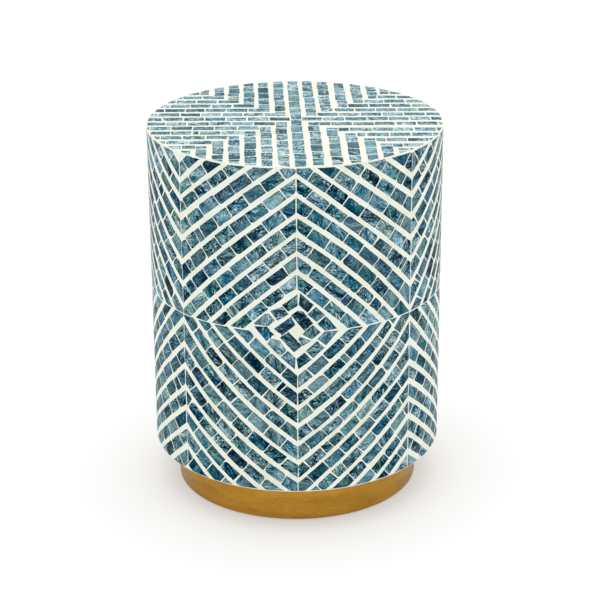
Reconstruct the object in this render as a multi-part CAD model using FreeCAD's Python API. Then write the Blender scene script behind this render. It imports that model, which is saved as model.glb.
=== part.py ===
import FreeCAD, Part
import math
import os
import random

V = FreeCAD.Vector

# ---------------------------------------------------------------- driving dimensions (mm)
DRUM_R = 178.0          # outside radius of the drum, over the inlay
TOTAL_H = 460.0         # floor to seat top
PLINTH_R = 150.0        # outside radius of the brass band
DRUM_Z = 51.0           # floor to the underside of the drum
GLIDE_H = 2.0           # the glides lift the plinth clear of the floor by this much
EDGE_R = 7.0            # round-over of the drum's lower edge
RIM_R = 0.8             # eased upper rim

INLAY_T = 2.2           # resin layer over the wall
TOP_INLAY_T = 1.4       # resin layer over the seat board
BAND_LEVELS = (125.0, 190.0, 255.0, 320.0, 390.0)   # about where the wall resin's outer face is drawn in bands
TILE_T = 1.7            # thickness of one shell tile of the wall
TOP_TILE_T = 1.1        # thickness of one shell tile of the top
JOINT = 0.9             # joint between two tiles of one row

SEAT_T = 18.0           # seat board
BOARD_T = 18.0          # bottom board
SKIN_T = 6.0            # bent plywood wall skin
RING_T = 15.0           # frame rings
RING_IN_R = 122.0       # inside radius of the frame rings
RING_MID_Z = 247.0      # underside of the middle ring
BATTEN_N = 8
BATTEN_W = 24.0         # batten, along the wall
BATTEN_D = 38.0         # batten, towards the axis

BAND_T = 0.7            # brass sheet
BAND_GAP = 0.5          # butt seam at the back
PLINTH_SPLIT_Z = 26.5   # glue line between the two plinth discs

SCREW_D, SCREW_HEAD_D, SCREW_L = 4.0, 8.0, 50.0
PLINTH_SCREW_D, PLINTH_SCREW_HEAD_D, PLINTH_SCREW_L = 5.0, 10.0, 60.0
SEAT_SCREW_PCR = 150.0  # pitch circle radius, seat board screws
BOARD_SCREW_PCR = 138.0 # pitch circle radius, bottom board screws
PLINTH_SCREW_PCR = 92.0
DOWEL_D, DOWEL_L, DOWEL_PCR = 8.0, 20.0, 118.0
GLIDE_R, GLIDE_T, GLIDE_PCR = 11.0, 5.0, 126.0
PIN_D, PIN_HEAD_D, PIN_L = 1.2, 3.2, 11.0
PIN_ZS = (10.0, 20.5, 32.5, 43.0)

# ---------------------------------------------------------------- mosaic layout
# Wall: four panels of nested diamonds that meet in upright mitred seams.
# Azimuth 0 faces -Y, and grows towards +X.
FRONT_AZ = 0.3                  # centre line of the front panel, degrees
FRONT_HALF_DEG = 48.68          # half width of the front and back panels
FRONT_HALF = DRUM_R * math.radians(FRONT_HALF_DEG)
SIDE_HALF_DEG = 90.0 - FRONT_HALF_DEG
SIDE_HALF = DRUM_R * math.radians(SIDE_HALF_DEG)
MID_Z = 258.0 + GLIDE_H         # the diamonds' horizontal axis
TILE_TOP_Z = TOTAL_H - TOP_INLAY_T - 0.3
TILE_LOW_Z = DRUM_Z + 3.2       # where the round-over runs the tiles out
GROUT_HALF = (2.6, 3.2)         # half width of a cream line, at the centre and at the seam
CHIP_L = 25.3                   # usual length of one chip

# Height of the k-th cream line above the plinth's lower edge: at the panel's
# centre, half way, and at the seam; upper and lower halves; left and right.
APEX = {
    1: (288.0, 309.5, 333.0, 355.5, 378.5, 401.0, 425.0, 448.0, 471.0, 494.0, 517.0, 540.0, 563.0, 586.0),
    -1: (229.0, 206.0, 183.0, 161.0, 138.0, 114.5, 90.0, 66.0, 42.6, 19.2, -4.2, -27.6, -51.0, -74.4),
}
MIDWAY = {
    ("L", 1): (218.9, 244.1, 267.3, 291.2, 314.4, 338.9, 364.0, 389.9, 415.0, 439.4, 461.5, 486.7, 512.6, 537.2),
    ("R", 1): (217.3, 240.1, 263.8, 290.0, 315.3, 341.3, 364.5, 387.5, 411.0, 435.8, 458.7, 483.1, 509.3, 533.7),
    ("L", -1): (305.5, 279.8, 253.3, 227.0, 202.6, 177.2, 151.2, 125.3, 100.7, 77.1, 51.6, 24.2, -0.4, -25.7),
    ("R", -1): (297.5, 274.6, 249.7, 225.6, 201.3, 176.6, 154.6, 132.8, 109.6, 85.8, 61.7, 37.3, 15.3, -8.3),
}
SEAM = {
    ("L", 1): (138.6, 165.1, 191.2, 215.9, 240.8, 267.3, 295.2, 322.8, 352.4, 378.2, 401.8, 423.0, 447.6, 478.4),
    ("R", 1): (128.3, 155.4, 179.7, 210.1, 229.4, 261.5, 292.7, 323.6, 350.5, 377.1, 403.6, 425.8, 457.2, 484.6),
    ("L", -1): (385.4, 358.5, 332.3, 306.1, 280.6, 250.6, 220.0, 191.9, 163.1, 136.7, 111.8, 84.8, 55.6, 28.1),
    ("R", -1): (369.9, 345.5, 322.0, 297.9, 278.0, 250.1, 220.8, 193.4, 169.5, 145.0, 122.6, 99.1, 74.9, 48.3),
}
# name: (centre azimuth, half width, line tables of its left and right halves)
PANELS = (
    ("front", FRONT_AZ, FRONT_HALF, ("L", "R")),
    ("right", FRONT_AZ + 90.0, SIDE_HALF, ("R", "L")),
    ("back", FRONT_AZ + 180.0, FRONT_HALF, ("L", "R")),
    ("left", FRONT_AZ + 270.0, SIDE_HALF, ("R", "L")),
)
# Centre of the wide panels: five chips in a pinwheel and the ring of twelve round it,
# corners in (arc, height) from the middle of the panel.
CENTRE_GROWN = 0.15             # added all round to these outlines
CENTRE_CHIPS = (
    ((-26.6, 3.5), (-18.2, -4.0), (-2.3, 9.3), (-6.4, 19.4)),
    ((-6.5, 21.5), (8.8, 1.9), (18.2, 10.3), (6.5, 25.5), (0.5, 26.8)),
    ((6.8, -3.5), (16.3, -8.8), (26.9, -0.6), (18.7, 7.9), (10.0, 1.2)),
    ((-19.4, -6.4), (-3.2, -24.6), (5.2, -17.4), (-10.8, 0.4)),
    ((1.0, -9.0), (6.8, -16.8), (16.0, -11.5), (3.0, -6.0)),
    ((-16.9, 33.1), (-10.6, 26.3), (0.3, 33.5), (1.0, 46.5)),
    ((3.1, 48.1), (2.6, 34.4), (12.5, 24.8), (19.0, 32.8)),
    ((12.5, 22.5), (23.1, 12.8), (32.3, 19.4), (21.3, 30.3)),
    ((23.8, 10.0), (33.1, 0.9), (46.5, 1.2), (33.1, 18.1)),
    ((48.1, -0.3), (32.5, -1.0), (24.0, -10.0), (33.1, -17.5)),
    ((23.8, -12.2), (10.0, -24.4), (18.1, -32.5), (31.3, -20.0)),
    ((8.8, -26.2), (-0.5, -34.0), (0.6, -46.2), (16.3, -34.4)),
    ((-11.3, -24.0), (-18.8, -31.2), (-2.5, -46.2), (-2.5, -33.1)),
    ((-30.6, -8.7), (-34.4, -15.0), (-19.4, -30.6), (-13.1, -23.7), (-20.6, -11.2)),
    ((-50.0, 5.7), (-35.4, -11.9), (-27.2, -4.4), (-35.4, 5.4)),
    ((-50.4, 8.6), (-49.2, 7.2), (-34.2, 6.8), (-25.9, 14.7), (-32.3, 22.0), (-36.6, 21.8)),
    ((-30.6, 25.0), (-23.1, 14.8), (-10.0, 23.1), (-16.3, 31.3)),
)
# Where the rows are cut into chips, as arc from the panel's centre line: panel, half (-1 left),
# upper or lower arm, then row number. Rows that are not listed are cut at usual chip lengths.
WALL_JOINTS = {
    ("front", -1, 1): {
        3: (16.5, 37, 55.9),
        4: (12.8, 33.1, 52.7, 72.6, 81.4),
        5: (14.4, 34.8, 54.5, 73.8, 92.3, 111.6),
        6: (15.4, 35.9, 56, 75.8, 94.7, 114.2, 133.1),
        7: (14.9, 35.3, 54.4, 74.2, 93.9, 112.6, 131.2, 141),
        8: (14.5, 34.4, 55.7, 74.8, 93.9, 113.7, 132.6, 139.9),
        9: (16, 36.9, 57.5, 78.8, 97, 117.1, 124.7, 138.5),
        10: (53.3, 74.6, 95.7, 117.2, 137.1),
        11: (82.8, 103.9, 123.6, 143.4),
        12: (111.5, 132.8),
        13: (140.8,),
    },
    ("front", -1, -1): {
        3: (15.9, 35.2, 53.6),
        4: (16.8, 21.9, 41.7, 60.7, 79.7),
        5: (17.8, 37.4, 56.6, 74.8, 93.7, 109.5),
        6: (17.3, 35.6, 55, 74.1, 93.3, 111.6, 130.2),
        7: (16.8, 37.1, 57.3, 77, 96.3, 115.4, 133.9),
        8: (17.2, 37.4, 57.6, 77.2, 97.2, 117, 135.9),
        9: (17.5, 38.1, 59.5, 79.1, 98.8, 118.9, 138.2),
        10: (63.3, 85, 105, 124.3, 145),
        11: (94.1, 113.9, 134.9),
        12: (114.4, 132.1),
    },
    ("front", 1, 1): {
        3: (15, 34.8, 53.3),
        4: (15.5, 34.9, 54.5, 61.8, 78.1),
        5: (15.3, 35.8, 55.4, 74.1, 91.6, 102.7),
        6: (15.1, 35.7, 55.9, 74.8, 93.6, 110.7, 128.2),
        7: (15.6, 36.6, 57, 76.3, 96.3, 115.9, 136.2),
        8: (15, 35.4, 55.9, 75.9, 95.3, 115.3, 134.2, 139.2),
        9: (15.9, 36.6, 57.2, 77.7, 98.5, 119.2, 138.3),
        10: (46.7, 67.4, 88.5, 109.3, 129.4, 136),
        11: (77.4, 98.4, 119.5, 139.3),
        12: (106.6, 126.8, 136.8),
        13: (142.4,),
    },
    ("front", 1, -1): {
        3: (14.5, 33.6, 54.2),
        4: (14.4, 33.6, 53.8, 60.1, 79.3),
        5: (15.4, 35.1, 54.6, 74.2, 93.6, 102.5),
        6: (14.6, 35.2, 55.1, 74.5, 94.4, 113.1, 128.6),
        7: (12.2, 32, 52.2, 70.9, 90.1, 109.3, 129.2, 137.9),
        8: (11.1, 30.4, 39.7, 53, 73.4, 92.9, 113, 132.4),
        9: (14.8, 33.8, 53.1, 72.2, 92.8, 114, 134.1),
        10: (56.2, 76.3, 95.8, 116.4, 137),
        11: (83.1, 104.5, 124, 144.2),
        12: (114.2, 134.5),
        13: (143.6,),
    },
    ("right", -1, 1): {
        4: (55.8,),
        5: (55.9, 72.5, 81.3),
        6: (57.6, 73.4, 91, 108.2),
        7: (56.1, 74.8, 94.1, 109.4, 114.1),
        8: (56.2, 75.2, 94.1, 113),
        9: (57.2, 76.8, 97.2, 112.6),
        10: (60.8, 78.4, 98.5, 119.5),
        11: (67.9, 88, 110.7),
        12: (81.8, 100.1, 112),
        13: (119.9,),
    },
    ("right", -1, -1): {
        4: (56,),
        5: (63.6, 81.3),
        6: (71.2, 90.1, 107.3),
        7: (70.4, 88.8, 108.9),
        8: (72, 91, 110.4),
        9: (72.2, 92.5, 113.3),
        10: (70.1, 89.8, 111.3),
        11: (65.2, 85.4, 104.2, 122.6),
        12: (90.7, 111.6),
        13: (119.8,),
    },
    ("left", 1, 1): {
        4: (61.4,),
        5: (64.7, 83.5),
        6: (70.1, 89, 108),
        7: (57.5, 76, 95.5, 114.9),
        8: (56.8, 75.8, 94.9, 114.1),
        9: (55.7, 75.7, 93.4, 113),
        10: (62.7, 81.8, 91.4, 111.4),
        11: (69.1, 89.2, 110),
        12: (92.5, 112.5),
        13: (113.9,),
    },
    ("left", 1, -1): {
        4: (56.3,),
        5: (62.4, 80.5),
        6: (54.1, 73, 91.8, 102.8),
        7: (59.6, 77.1, 96.7, 115.7),
        8: (59.8, 78.8, 97.9, 115.3),
        9: (66.7, 86.1, 105.8, 115.4),
        10: (54.5, 73, 92.6, 112.2),
        11: (65.6, 86.1, 106.5),
        12: (95.8, 115.7),
    },
}
# Top: a cross of chips with nested L rows in each quarter.
CROSS_X, CROSS_Y = 1.5, 8.5     # the cross stands a little off the disc's centre
CROSS_LEAN, CROSS_TILT = 0.0267, 0.0084
ROW_PITCH = 18.7
ROW_HALF = 6.2
# distance of the nested rows from the cross, (columns, rows) of each quarter: (right, back) signs
EVEN = tuple(ROW_PITCH * m for m in range(1, 11))
QUARTERS = {
    (-1, 1): (EVEN, EVEN),
    (1, 1): ((18.3, 37.2, 58.2, 78.8, 97.8, 114.5, 133.0, 152.0, 171.0), EVEN),
    (-1, -1): (EVEN, EVEN),
    (1, -1): ((20.0, 41.5, 62.5, 82.5, 101.0, 119.7, 138.5, 157.5, 176.5),
              (20.0, 43.5, 64.5, 85.2, 106.0, 124.0, 143.0, 162.0, 181.0)),
}
# Where the rows of the top are cut, as distance from the cross along each row: the cross's upright
# row, its left and right arms, then each quarter's nested rows and columns in turn.
TOP_JOINTS = (
    (-161, -137, -109.8, -83.4, -55.8, -27.8, -3.8, 20.6, 48.2, 74.6, 100.2, 125.4, 151),
    (32.3, 59.1, 84.3, 110.3, 135.5, 161.1),
    (31.5, 58.3, 84.7, 110.7, 136.7, 161.9),
    (37.7, 63.7, 89.7, 115.3, 140.1, 167.3),
    (32.2, 57, 79.8, 106.6, 134.2, 159.4),
    (58, 84.4, 110, 134, 159.2),
    (62.1, 87.3, 113.7, 139.3),
    (76.7, 102.7, 128.3, 153.9),
    (69.2, 93.2, 117.6, 144),
    (95.4, 121, 146.6),
    (97.9, 111.5, 134.7),
    (114.1,),
    (116.2,),
    (118,),
    (),
    (),
    (),
    (),
    (),
    (),
    (),
    (),
    (),
    (26.1, 51.7, 78.1, 104.1, 130.5, 156.9),
    (43.4, 67.8, 92.6, 119.4, 146.6),
    (46.2, 72.2, 97.8, 124.2, 149.4),
    (60.5, 75.3, 100.9, 126.5, 151.3),
    (65.2, 90.8, 117.6, 143.2),
    (79.2, 105.2, 132.4),
    (85.4, 110.6, 137),
    (87.9, 113.1, 137.5),
    (104, 128),
    (118.6,),
    (119.5,),
    (),
    (),
    (),
    (),
    (),
    (),
    (),
    (51.4, 77.4, 104.2, 130.2, 156.6),
    (36.5, 62.9, 87.7, 115.7, 140.9, 166.5),
    (71.3, 98.1, 124.1, 149.7),
    (55.2, 79.6, 106, 132.8, 158.8),
    (90, 116, 124, 149.2),
    (70.7, 95.1, 121.1, 146.7, 173.1),
    (107.9, 135.1, 161.1),
    (82.6, 107.8, 132.6, 158.6, 166.6),
    (127, 154.2),
    (112.9, 139.7, 157.3),
    (135.3,),
    (118.8, 144.8),
    (),
    (),
    (),
    (),
    (),
    (),
    (),
    (),
    (40.7, 66.7, 92.7, 117.9, 143.1, 168.7),
    (26.6, 51.4, 78.6, 103.4, 129.8, 155),
    (61.8, 88.6, 113.8, 138.6, 165),
    (44.5, 71.7, 98.5, 122.9, 148.9, 171.7),
    (80.8, 107.2, 133.6, 158),
    (68.7, 93.1, 119.1, 145.5, 164.3),
    (102, 126.8),
    (89, 115.8, 142.2),
    (120.1,),
    (108.6, 135),
    (),
    (127,),
    (),
    (),
    (),
    (),
    (),
    (),
)
TOP_TILE_R = DRUM_R - 0.9
SEED = 20


def clip(poly, nx, ny, d):
    """The part of a polygon with nx*x + ny*y <= d."""
    out = []
    for i, p in enumerate(poly):
        q = poly[(i + 1) % len(poly)]
        a = nx * p[0] + ny * p[1] - d
        b = nx * q[0] + ny * q[1] - d
        if a <= 0:
            out.append(p)
        if (a < 0 < b) or (b < 0 < a):
            s = a / (a - b)
            out.append((p[0] + s * (q[0] - p[0]), p[1] + s * (q[1] - p[1])))
    return out


def area(poly):
    return 0.5 * sum(p[0] * q[1] - q[0] * p[1] for p, q in zip(poly, poly[1:] + poly[:1]))


def tidy(poly, short=0.7):
    """Drop edges shorter than `short` and corners that lie on a straight line."""
    pts = []
    for p in poly:
        if not pts or math.hypot(p[0] - pts[-1][0], p[1] - pts[-1][1]) > short:
            pts.append(p)
    while len(pts) > 2 and math.hypot(pts[0][0] - pts[-1][0], pts[0][1] - pts[-1][1]) <= short:
        pts.pop()
    out = []
    for i, p in enumerate(pts):
        a, b = pts[i - 1], pts[(i + 1) % len(pts)]
        cross = (p[0] - a[0]) * (b[1] - p[1]) - (p[1] - a[1]) * (b[0] - p[0])
        if abs(cross) > 0.02 * math.hypot(b[0] - a[0], b[1] - a[1]) * 3:
            out.append(p)
    if len(out) > 2 and area(out) < 0:
        out.reverse()
    return out


def big_enough(poly):
    if len(poly) < 3:
        return False
    rim = sum(math.hypot(p[0] - q[0], p[1] - q[1]) for p, q in zip(poly, poly[1:] + poly[:1]))
    return area(poly) > 13.0 and area(poly) / rim > 0.85


def chip_length(rng):
    if rng.random() < 0.85:
        return min(27.5, max(23.0, rng.gauss(CHIP_L, 0.9)))
    return rng.uniform(9.0, 19.0)


def line_z(side, up, k, t):
    """Height of the k-th cream line at t = 0 (centre) .. 1 (seam)."""
    z0, zm, zs = APEX[up][k - 1], MIDWAY[side, up][k - 1], SEAM[side, up][k - 1]
    return GLIDE_H + z0 * (1 - t) * (1 - 2 * t) + zm * 4 * t * (1 - t) + zs * t * (2 * t - 1)


def row_cuts(rng, s_in, s_out, known):
    """Where a row is cut into chips: at its known joints, and beyond them at usual chip lengths."""
    cuts = [s for s in known if s_in + 7.0 < s < s_out - 8.0]
    if not cuts:
        s = s_in
        while True:
            s += chip_length(rng) if cuts else rng.choice((chip_length(rng), rng.uniform(12.0, 25.0)))
            if s > s_out - 5.0:
                break
            cuts.append(s)
    while cuts and cuts[0] - s_in > 30.0:
        cuts.insert(0, max(cuts[0] - chip_length(rng), s_in + 8.0))
    while cuts and s_out - cuts[-1] > 30.0:
        cuts.append(min(cuts[-1] + chip_length(rng), s_out - 8.0))
    full = []
    for s in cuts:
        if full and s - full[-1] > 32.0:
            full.append(0.5 * (full[-1] + s))
        full.append(s)
    return full


def arm_tiles(rng, half, side, up, k, b_end, known=()):
    """Chips of one straight arm of the k-th row: half is -1 (left) or 1 (right), up is 1 or -1."""
    wob = [rng.uniform(-0.4, 0.4), rng.uniform(-0.4, 0.4)]

    def t_of(b):
        return 1.0 - (b_end - b) / FRONT_HALF

    def grout(t):
        t = min(1.0, max(0.0, t))
        return (GROUT_HALF[0] + (GROUT_HALF[1] - GROUT_HALF[0]) * t) * 1.29

    def inner(b):
        return line_z(side, up, k - 1, t_of(b)) + up * (grout(t_of(b)) + wob[0])

    def outer(b):
        return line_z(side, up, k, t_of(b)) - up * (grout(t_of(b)) + wob[1])

    def mid(b):
        return 0.5 * (inner(b) + outer(b))

    # walk along the row's centre line
    step = 0.5
    path, s = [], 0.0
    b = -16.0
    while b < b_end + 16.0:
        path.append((s, b, mid(b)))
        s += math.hypot(step, mid(b + step) - mid(b))
        b += step
    inside = [p for p in path if 0 <= p[1] <= b_end
              and (MID_Z - 2 <= p[2] <= TILE_TOP_Z + 3 if up > 0 else TILE_LOW_Z - 3 <= p[2] <= MID_Z + 2)]
    if not inside:
        return []
    s_in, s_out = inside[0][0], inside[-1][0]
    cuts = row_cuts(rng, s_in, s_out, [min(path, key=lambda p: abs(p[1] - b))[0] for b in known])

    def at(sv):
        j = min(range(len(path)), key=lambda i: abs(path[i][0] - sv))
        j = min(max(j, 1), len(path) - 2)
        m = (path[j + 1][2] - path[j - 1][2]) / (path[j + 1][1] - path[j - 1][1])
        ds = (sv - path[j][0]) / math.hypot(1.0, m)
        return path[j][1] + ds, path[j][2] + m * ds, m

    def cross_line(sv, skew):
        """Where a cut across the row meets its inner and outer edges."""
        b0, z0, m = at(sv)
        ang = math.atan2(up, -up * m) + skew      # across the row, outwards
        dx, dz = math.cos(ang), math.sin(ang)
        pts = []
        for edge, w in ((inner, -6.0), (outer, 6.0)):
            for _ in range(8):
                f = z0 + dz * w - edge(b0 + dx * w)
                g = z0 + dz * (w + 0.1) - edge(b0 + dx * (w + 0.1))
                w -= 0.1 * f / (g - f)
            pts.append((b0 + dx * w, z0 + dz * w))
        return pts

    tiles = []
    skews = [rng.gauss(0.0, 0.045) for _ in cuts]
    for i in range(len(cuts) + 1):
        lo = cross_line(cuts[i - 1] + JOINT / 2, skews[i - 1]) if i else cross_line(s_in - 14.0, 0.0)
        hi = cross_line(cuts[i] - JOINT / 2, skews[i]) if i < len(cuts) else cross_line(s_out + 14.0, 0.0)
        poly = [lo[0], hi[0], hi[1], lo[1]]
        if area(poly) < 0:
            poly.reverse()
        poly = clip(poly, -1, 0, -JOINT / 2)
        poly = clip(poly, 1, 0, b_end - JOINT / 2) if poly else poly
        poly = clip(poly, 0, 1, TILE_TOP_Z) if poly else poly
        poly = clip(poly, 0, -1, -TILE_LOW_Z) if poly else poly
        poly = clip(poly, 0, -up, -(up * MID_Z + JOINT / 2)) if poly else poly
        poly = tidy([(half * p[0], p[1]) for p in poly])
        if big_enough(poly):
            _, _, m = at(0.5 * ((cuts[i - 1] if i else s_in) + (cuts[i] if i < len(cuts) else s_out)))
            tiles.append((poly, math.atan2(m, half)))
    return tiles


def grown(poly, d):
    """An outline that runs counter-clockwise, with every edge moved outwards."""
    out = []
    for i, p in enumerate(poly):
        a, b = poly[i - 1], poly[(i + 1) % len(poly)]
        e, f = (p[0] - a[0], p[1] - a[1]), (b[0] - p[0], b[1] - p[1])
        le, lf = math.hypot(*e), math.hypot(*f)
        nx, ny = (e[1] / le, -e[0] / le), (f[1] / lf, -f[0] / lf)
        k = d / max(0.5, 1.0 + nx[0] * ny[0] + nx[1] * ny[1])
        out.append((p[0] + k * (nx[0] + ny[0]), p[1] + k * (nx[1] + ny[1])))
    return out


def heart_tiles():
    """The chips at the centre of a wide panel, with the row direction of each."""
    tiles = []
    for chip in CENTRE_CHIPS:
        poly = grown(tidy([(a, MID_Z + z) for a, z in chip]), CENTRE_GROWN)
        p, q = max(zip(poly, poly[1:] + poly[:1]), key=lambda e: math.hypot(e[1][0] - e[0][0], e[1][1] - e[0][1]))
        tiles.append((poly, math.atan2(q[1] - p[1], q[0] - p[0])))
    return tiles


def wall_tiles():
    """{panel: [(outline in (arc mm from the panel's centre, height mm), row direction)]}"""
    rng = random.Random(SEED)
    found = {}
    for name, az, b_end, sides in PANELS:
        tiles = []
        wide = b_end > 0.5 * (FRONT_HALF + SIDE_HALF)
        if wide:
            tiles += heart_tiles()
        else:
            t0 = 1.0 - b_end / FRONT_HALF
            top = line_z("L", 1, 1, t0) - GROUT_HALF[0] * 1.29
            low = line_z("L", -1, 1, t0) + GROUT_HALF[0] * 1.29
            mid, reach = 0.5 * (top + low), 0.5 * (top - low)
            lozenge = [(0.0, mid - reach), (1.25 * reach, mid), (0.0, mid + reach), (-1.25 * reach, mid)]
            if big_enough(lozenge):
                tiles.append((lozenge, 0.7))
        for half in (-1, 1):
            side = sides[0 if half < 0 else 1]
            for up in (1, -1):
                for k in range(3 if wide else 2, 15):
                    known = WALL_JOINTS.get((name, half, up), {}).get(k, ())
                    tiles += arm_tiles(rng, half, side, up, k, b_end, known)
        found[name] = tiles
    return found


def top_tiles():
    """[(outline in (x, y) mm, row direction)]"""
    rng = random.Random(SEED + 1)
    tiles = []
    known = iter(TOP_JOINTS)

    def xy(p, q):
        return CROSS_X + p - CROSS_LEAN * q, CROSS_Y + q - CROSS_TILT * p

    def row(lo, hi, start, sign, upright, end=205.0):
        s, wob = start, (rng.uniform(-0.35, 0.35), rng.uniform(-0.35, 0.35))
        first, lean = True, 0.0
        marks = list(next(known))
        while s < end:
            length = marks.pop(0) - s if marks else chip_length(rng)
            skew = max(-0.8, min(0.8, rng.gauss(0.0, 0.35)))
            a, b = s + (0.0 if first else JOINT / 2), s + length - JOINT / 2
            first = False
            s += length
            quad = ((a, lo + wob[0]), (b, lo + wob[0]), (b + skew, hi + wob[1]), (a + lean, hi + wob[1]))
            lean = skew             # both sides of a joint lean alike
            poly = [xy(c, sign * r) if upright else xy(sign * r, c) for r, c in quad]
            if area(poly) < 0:
                poly.reverse()
            if max(math.hypot(*p) for p in poly) > TOP_TILE_R:
                for i in range(144):
                    w = 2 * math.pi * (i + 0.5) / 144
                    poly = clip(poly, math.cos(w), math.sin(w), TOP_TILE_R * math.cos(math.pi / 144))
                    if not poly:
                        break
            poly = tidy(poly)
            if big_enough(poly):
                tiles.append((poly, math.pi / 2 if upright else 0.0))

    row(-ROW_HALF, ROW_HALF, -205.0, 1, True)
    for sx in (-1, 1):
        row(-ROW_HALF, ROW_HALF, ROW_HALF + JOINT, sx, False)
    for sy in (1, -1):
        for sx in (-1, 1):
            for col, across in zip(*QUARTERS[sx, sy]):
                c0, c1 = col - ROW_HALF, col + ROW_HALF
                r0, r1 = across - ROW_HALF, across + ROW_HALF
                # the row across, then the column that runs front to back
                row(min(sy * r0, sy * r1), max(sy * r0, sy * r1), c0 if sy > 0 else c1 + JOINT, sx, False)
                row(min(sx * c0, sx * c1), max(sx * c0, sx * c1), r1 + JOINT if sy > 0 else r0, sy, True)
    return tiles


# ---------------------------------------------------------------- helpers for the solids
def spot(r, az, z=0.0):
    a = math.radians(az)
    return V(r * math.sin(a), -r * math.cos(a), z)


def tube(r_in, r_out, z0, z1):
    s = Part.makeCylinder(r_out, z1 - z0, V(0, 0, z0))
    return s.cut(Part.makeCylinder(r_in, z1 - z0, V(0, 0, z0))) if r_in > 0 else s


def turned(edges, az0=None, az1=None):
    """Solid of revolution about Z of a closed profile drawn in the XZ plane."""
    face = Part.Face(Part.Wire(edges))
    if az0 is None:
        return face.revolve(V(0, 0, 0), V(0, 0, 1), 360)
    face.rotate(V(0, 0, 0), V(0, 0, 1), az0 - 90.0)
    return face.revolve(V(0, 0, 0), V(0, 0, 1), az1 - az0)


def lines(pts):
    return [Part.makeLine(V(p[0], 0, p[1]), V(q[0], 0, q[1])) for p, q in zip(pts, pts[1:])]


def bend(c, r, a0, a1):
    """Arc in the XZ plane about c, from angle a0 to a1 in degrees."""
    def p(a):
        return V(c[0] + r * math.cos(math.radians(a)), 0, c[1] + r * math.sin(math.radians(a)))
    return Part.Arc(p(a0), p(0.5 * (a0 + a1)), p(a1)).toShape()


def prism(pts, direction):
    wire = Part.makePolygon(pts + pts[:1])
    return Part.Face(wire).extrude(direction)


def screw(d, head_d, length):
    """Countersunk wood screw, tip at z = 0, flat head up, with a cross recess."""
    r, hr = d / 2, head_d / 2
    body = turned(lines([(0, 0), (r, 1.6 * d), (r, length - 0.4 - (hr - r)), (hr, length - 0.4),
                         (hr, length), (0, length), (0, 0)]))
    arm, depth = 0.5 * head_d, 0.35 * d
    recess = Part.makeBox(arm, 0.2 * d, depth + 1, V(-arm / 2, -0.1 * d, length - depth))
    recess = recess.fuse(Part.makeBox(0.2 * d, arm, depth + 1, V(-0.1 * d, -arm / 2, length - depth)))
    return body.cut(recess)


def screw_hole(d, head_d, length):
    """Clearance hole and countersink that a screw head sits in."""
    r, hr = d / 2, head_d / 2
    return turned(lines([(0, -1), (r + 0.25, -1), (r + 0.25, length - 0.4 - (hr - r) + 0.25), (hr, length - 0.4),
                         (hr, length + 1), (0, length + 1), (0, -1)]))


def put(shape, r, az, z, flip=False):
    s = shape.copy()
    if flip:
        s.rotate(V(0, 0, 0), V(1, 0, 0), 180)
    s.translate(spot(r, az, z))
    return s


nodes = {}

# ---------------------------------------------------------------- core of the drum
CORE_R = DRUM_R - INLAY_T
SEAT_Z1 = TOTAL_H - TOP_INLAY_T
SEAT_Z0 = SEAT_Z1 - SEAT_T
BOARD_Z1 = DRUM_Z + BOARD_T
SKIN_IN_R = CORE_R - SKIN_T
EDGE_C = (DRUM_R - EDGE_R, DRUM_Z + EDGE_R)
CORE_EDGE_R = EDGE_R - INLAY_T

seat_board = tube(0, CORE_R, SEAT_Z0, SEAT_Z1)
bottom_board = turned(
    lines([(0, DRUM_Z), (EDGE_C[0], DRUM_Z), (EDGE_C[0], DRUM_Z + INLAY_T)])
    + [bend(EDGE_C, CORE_EDGE_R, -90, 0)]
    + lines([(CORE_R, EDGE_C[1]), (CORE_R, BOARD_Z1), (0, BOARD_Z1), (0, DRUM_Z)]))
rings = {
    "upper_frame_ring": tube(RING_IN_R, SKIN_IN_R, SEAT_Z0 - RING_T, SEAT_Z0),
    "middle_frame_ring": tube(RING_IN_R, SKIN_IN_R, RING_MID_Z, RING_MID_Z + RING_T),
    "lower_frame_ring": tube(RING_IN_R, SKIN_IN_R, BOARD_Z1, BOARD_Z1 + RING_T),
}
bore = Part.makeCylinder(SKIN_IN_R, SEAT_Z0 - BOARD_Z1, V(0, 0, BOARD_Z1))
battens = []
for i in range(BATTEN_N):
    blank = Part.makeBox(BATTEN_W, BATTEN_D + 8.0, SEAT_Z0 - BOARD_Z1,
                         V(-BATTEN_W / 2, -(SKIN_IN_R + 8.0), BOARD_Z1))
    blank.rotate(V(0, 0, 0), V(0, 0, 1), 360.0 / BATTEN_N * i)
    battens.append(blank.common(bore))
    for name in rings:
        rings[name] = rings[name].cut(blank)

skin = {"wall_skin_front": (-90.0, 90.0), "wall_skin_back": (90.0, 270.0)}
for name, (a0, a1) in skin.items():
    nodes[name] = turned(lines([(SKIN_IN_R, BOARD_Z1), (CORE_R, BOARD_Z1), (CORE_R, SEAT_Z0),
                                (SKIN_IN_R, SEAT_Z0), (SKIN_IN_R, BOARD_Z1)]), a0, a1)

# screws: seat board into the batten tops, bottom board into the batten feet
long_screw = screw(SCREW_D, SCREW_HEAD_D, SCREW_L)
long_hole = screw_hole(SCREW_D, SCREW_HEAD_D, SCREW_L)
seat_screws, board_screws = [], []
for i in range(BATTEN_N):
    az = 360.0 / BATTEN_N * i
    top = put(long_screw, SEAT_SCREW_PCR, az, SEAT_Z1 - SCREW_L)
    foot = put(long_screw, BOARD_SCREW_PCR, az, DRUM_Z + SCREW_L, flip=True)
    seat_board = seat_board.cut(put(long_hole, SEAT_SCREW_PCR, az, SEAT_Z1 - SCREW_L))
    bottom_board = bottom_board.cut(put(long_hole, BOARD_SCREW_PCR, az, DRUM_Z + SCREW_L, flip=True))
    battens[i] = battens[i].cut(top).cut(foot)
    seat_screws.append(top)
    board_screws.append(foot)

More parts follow.
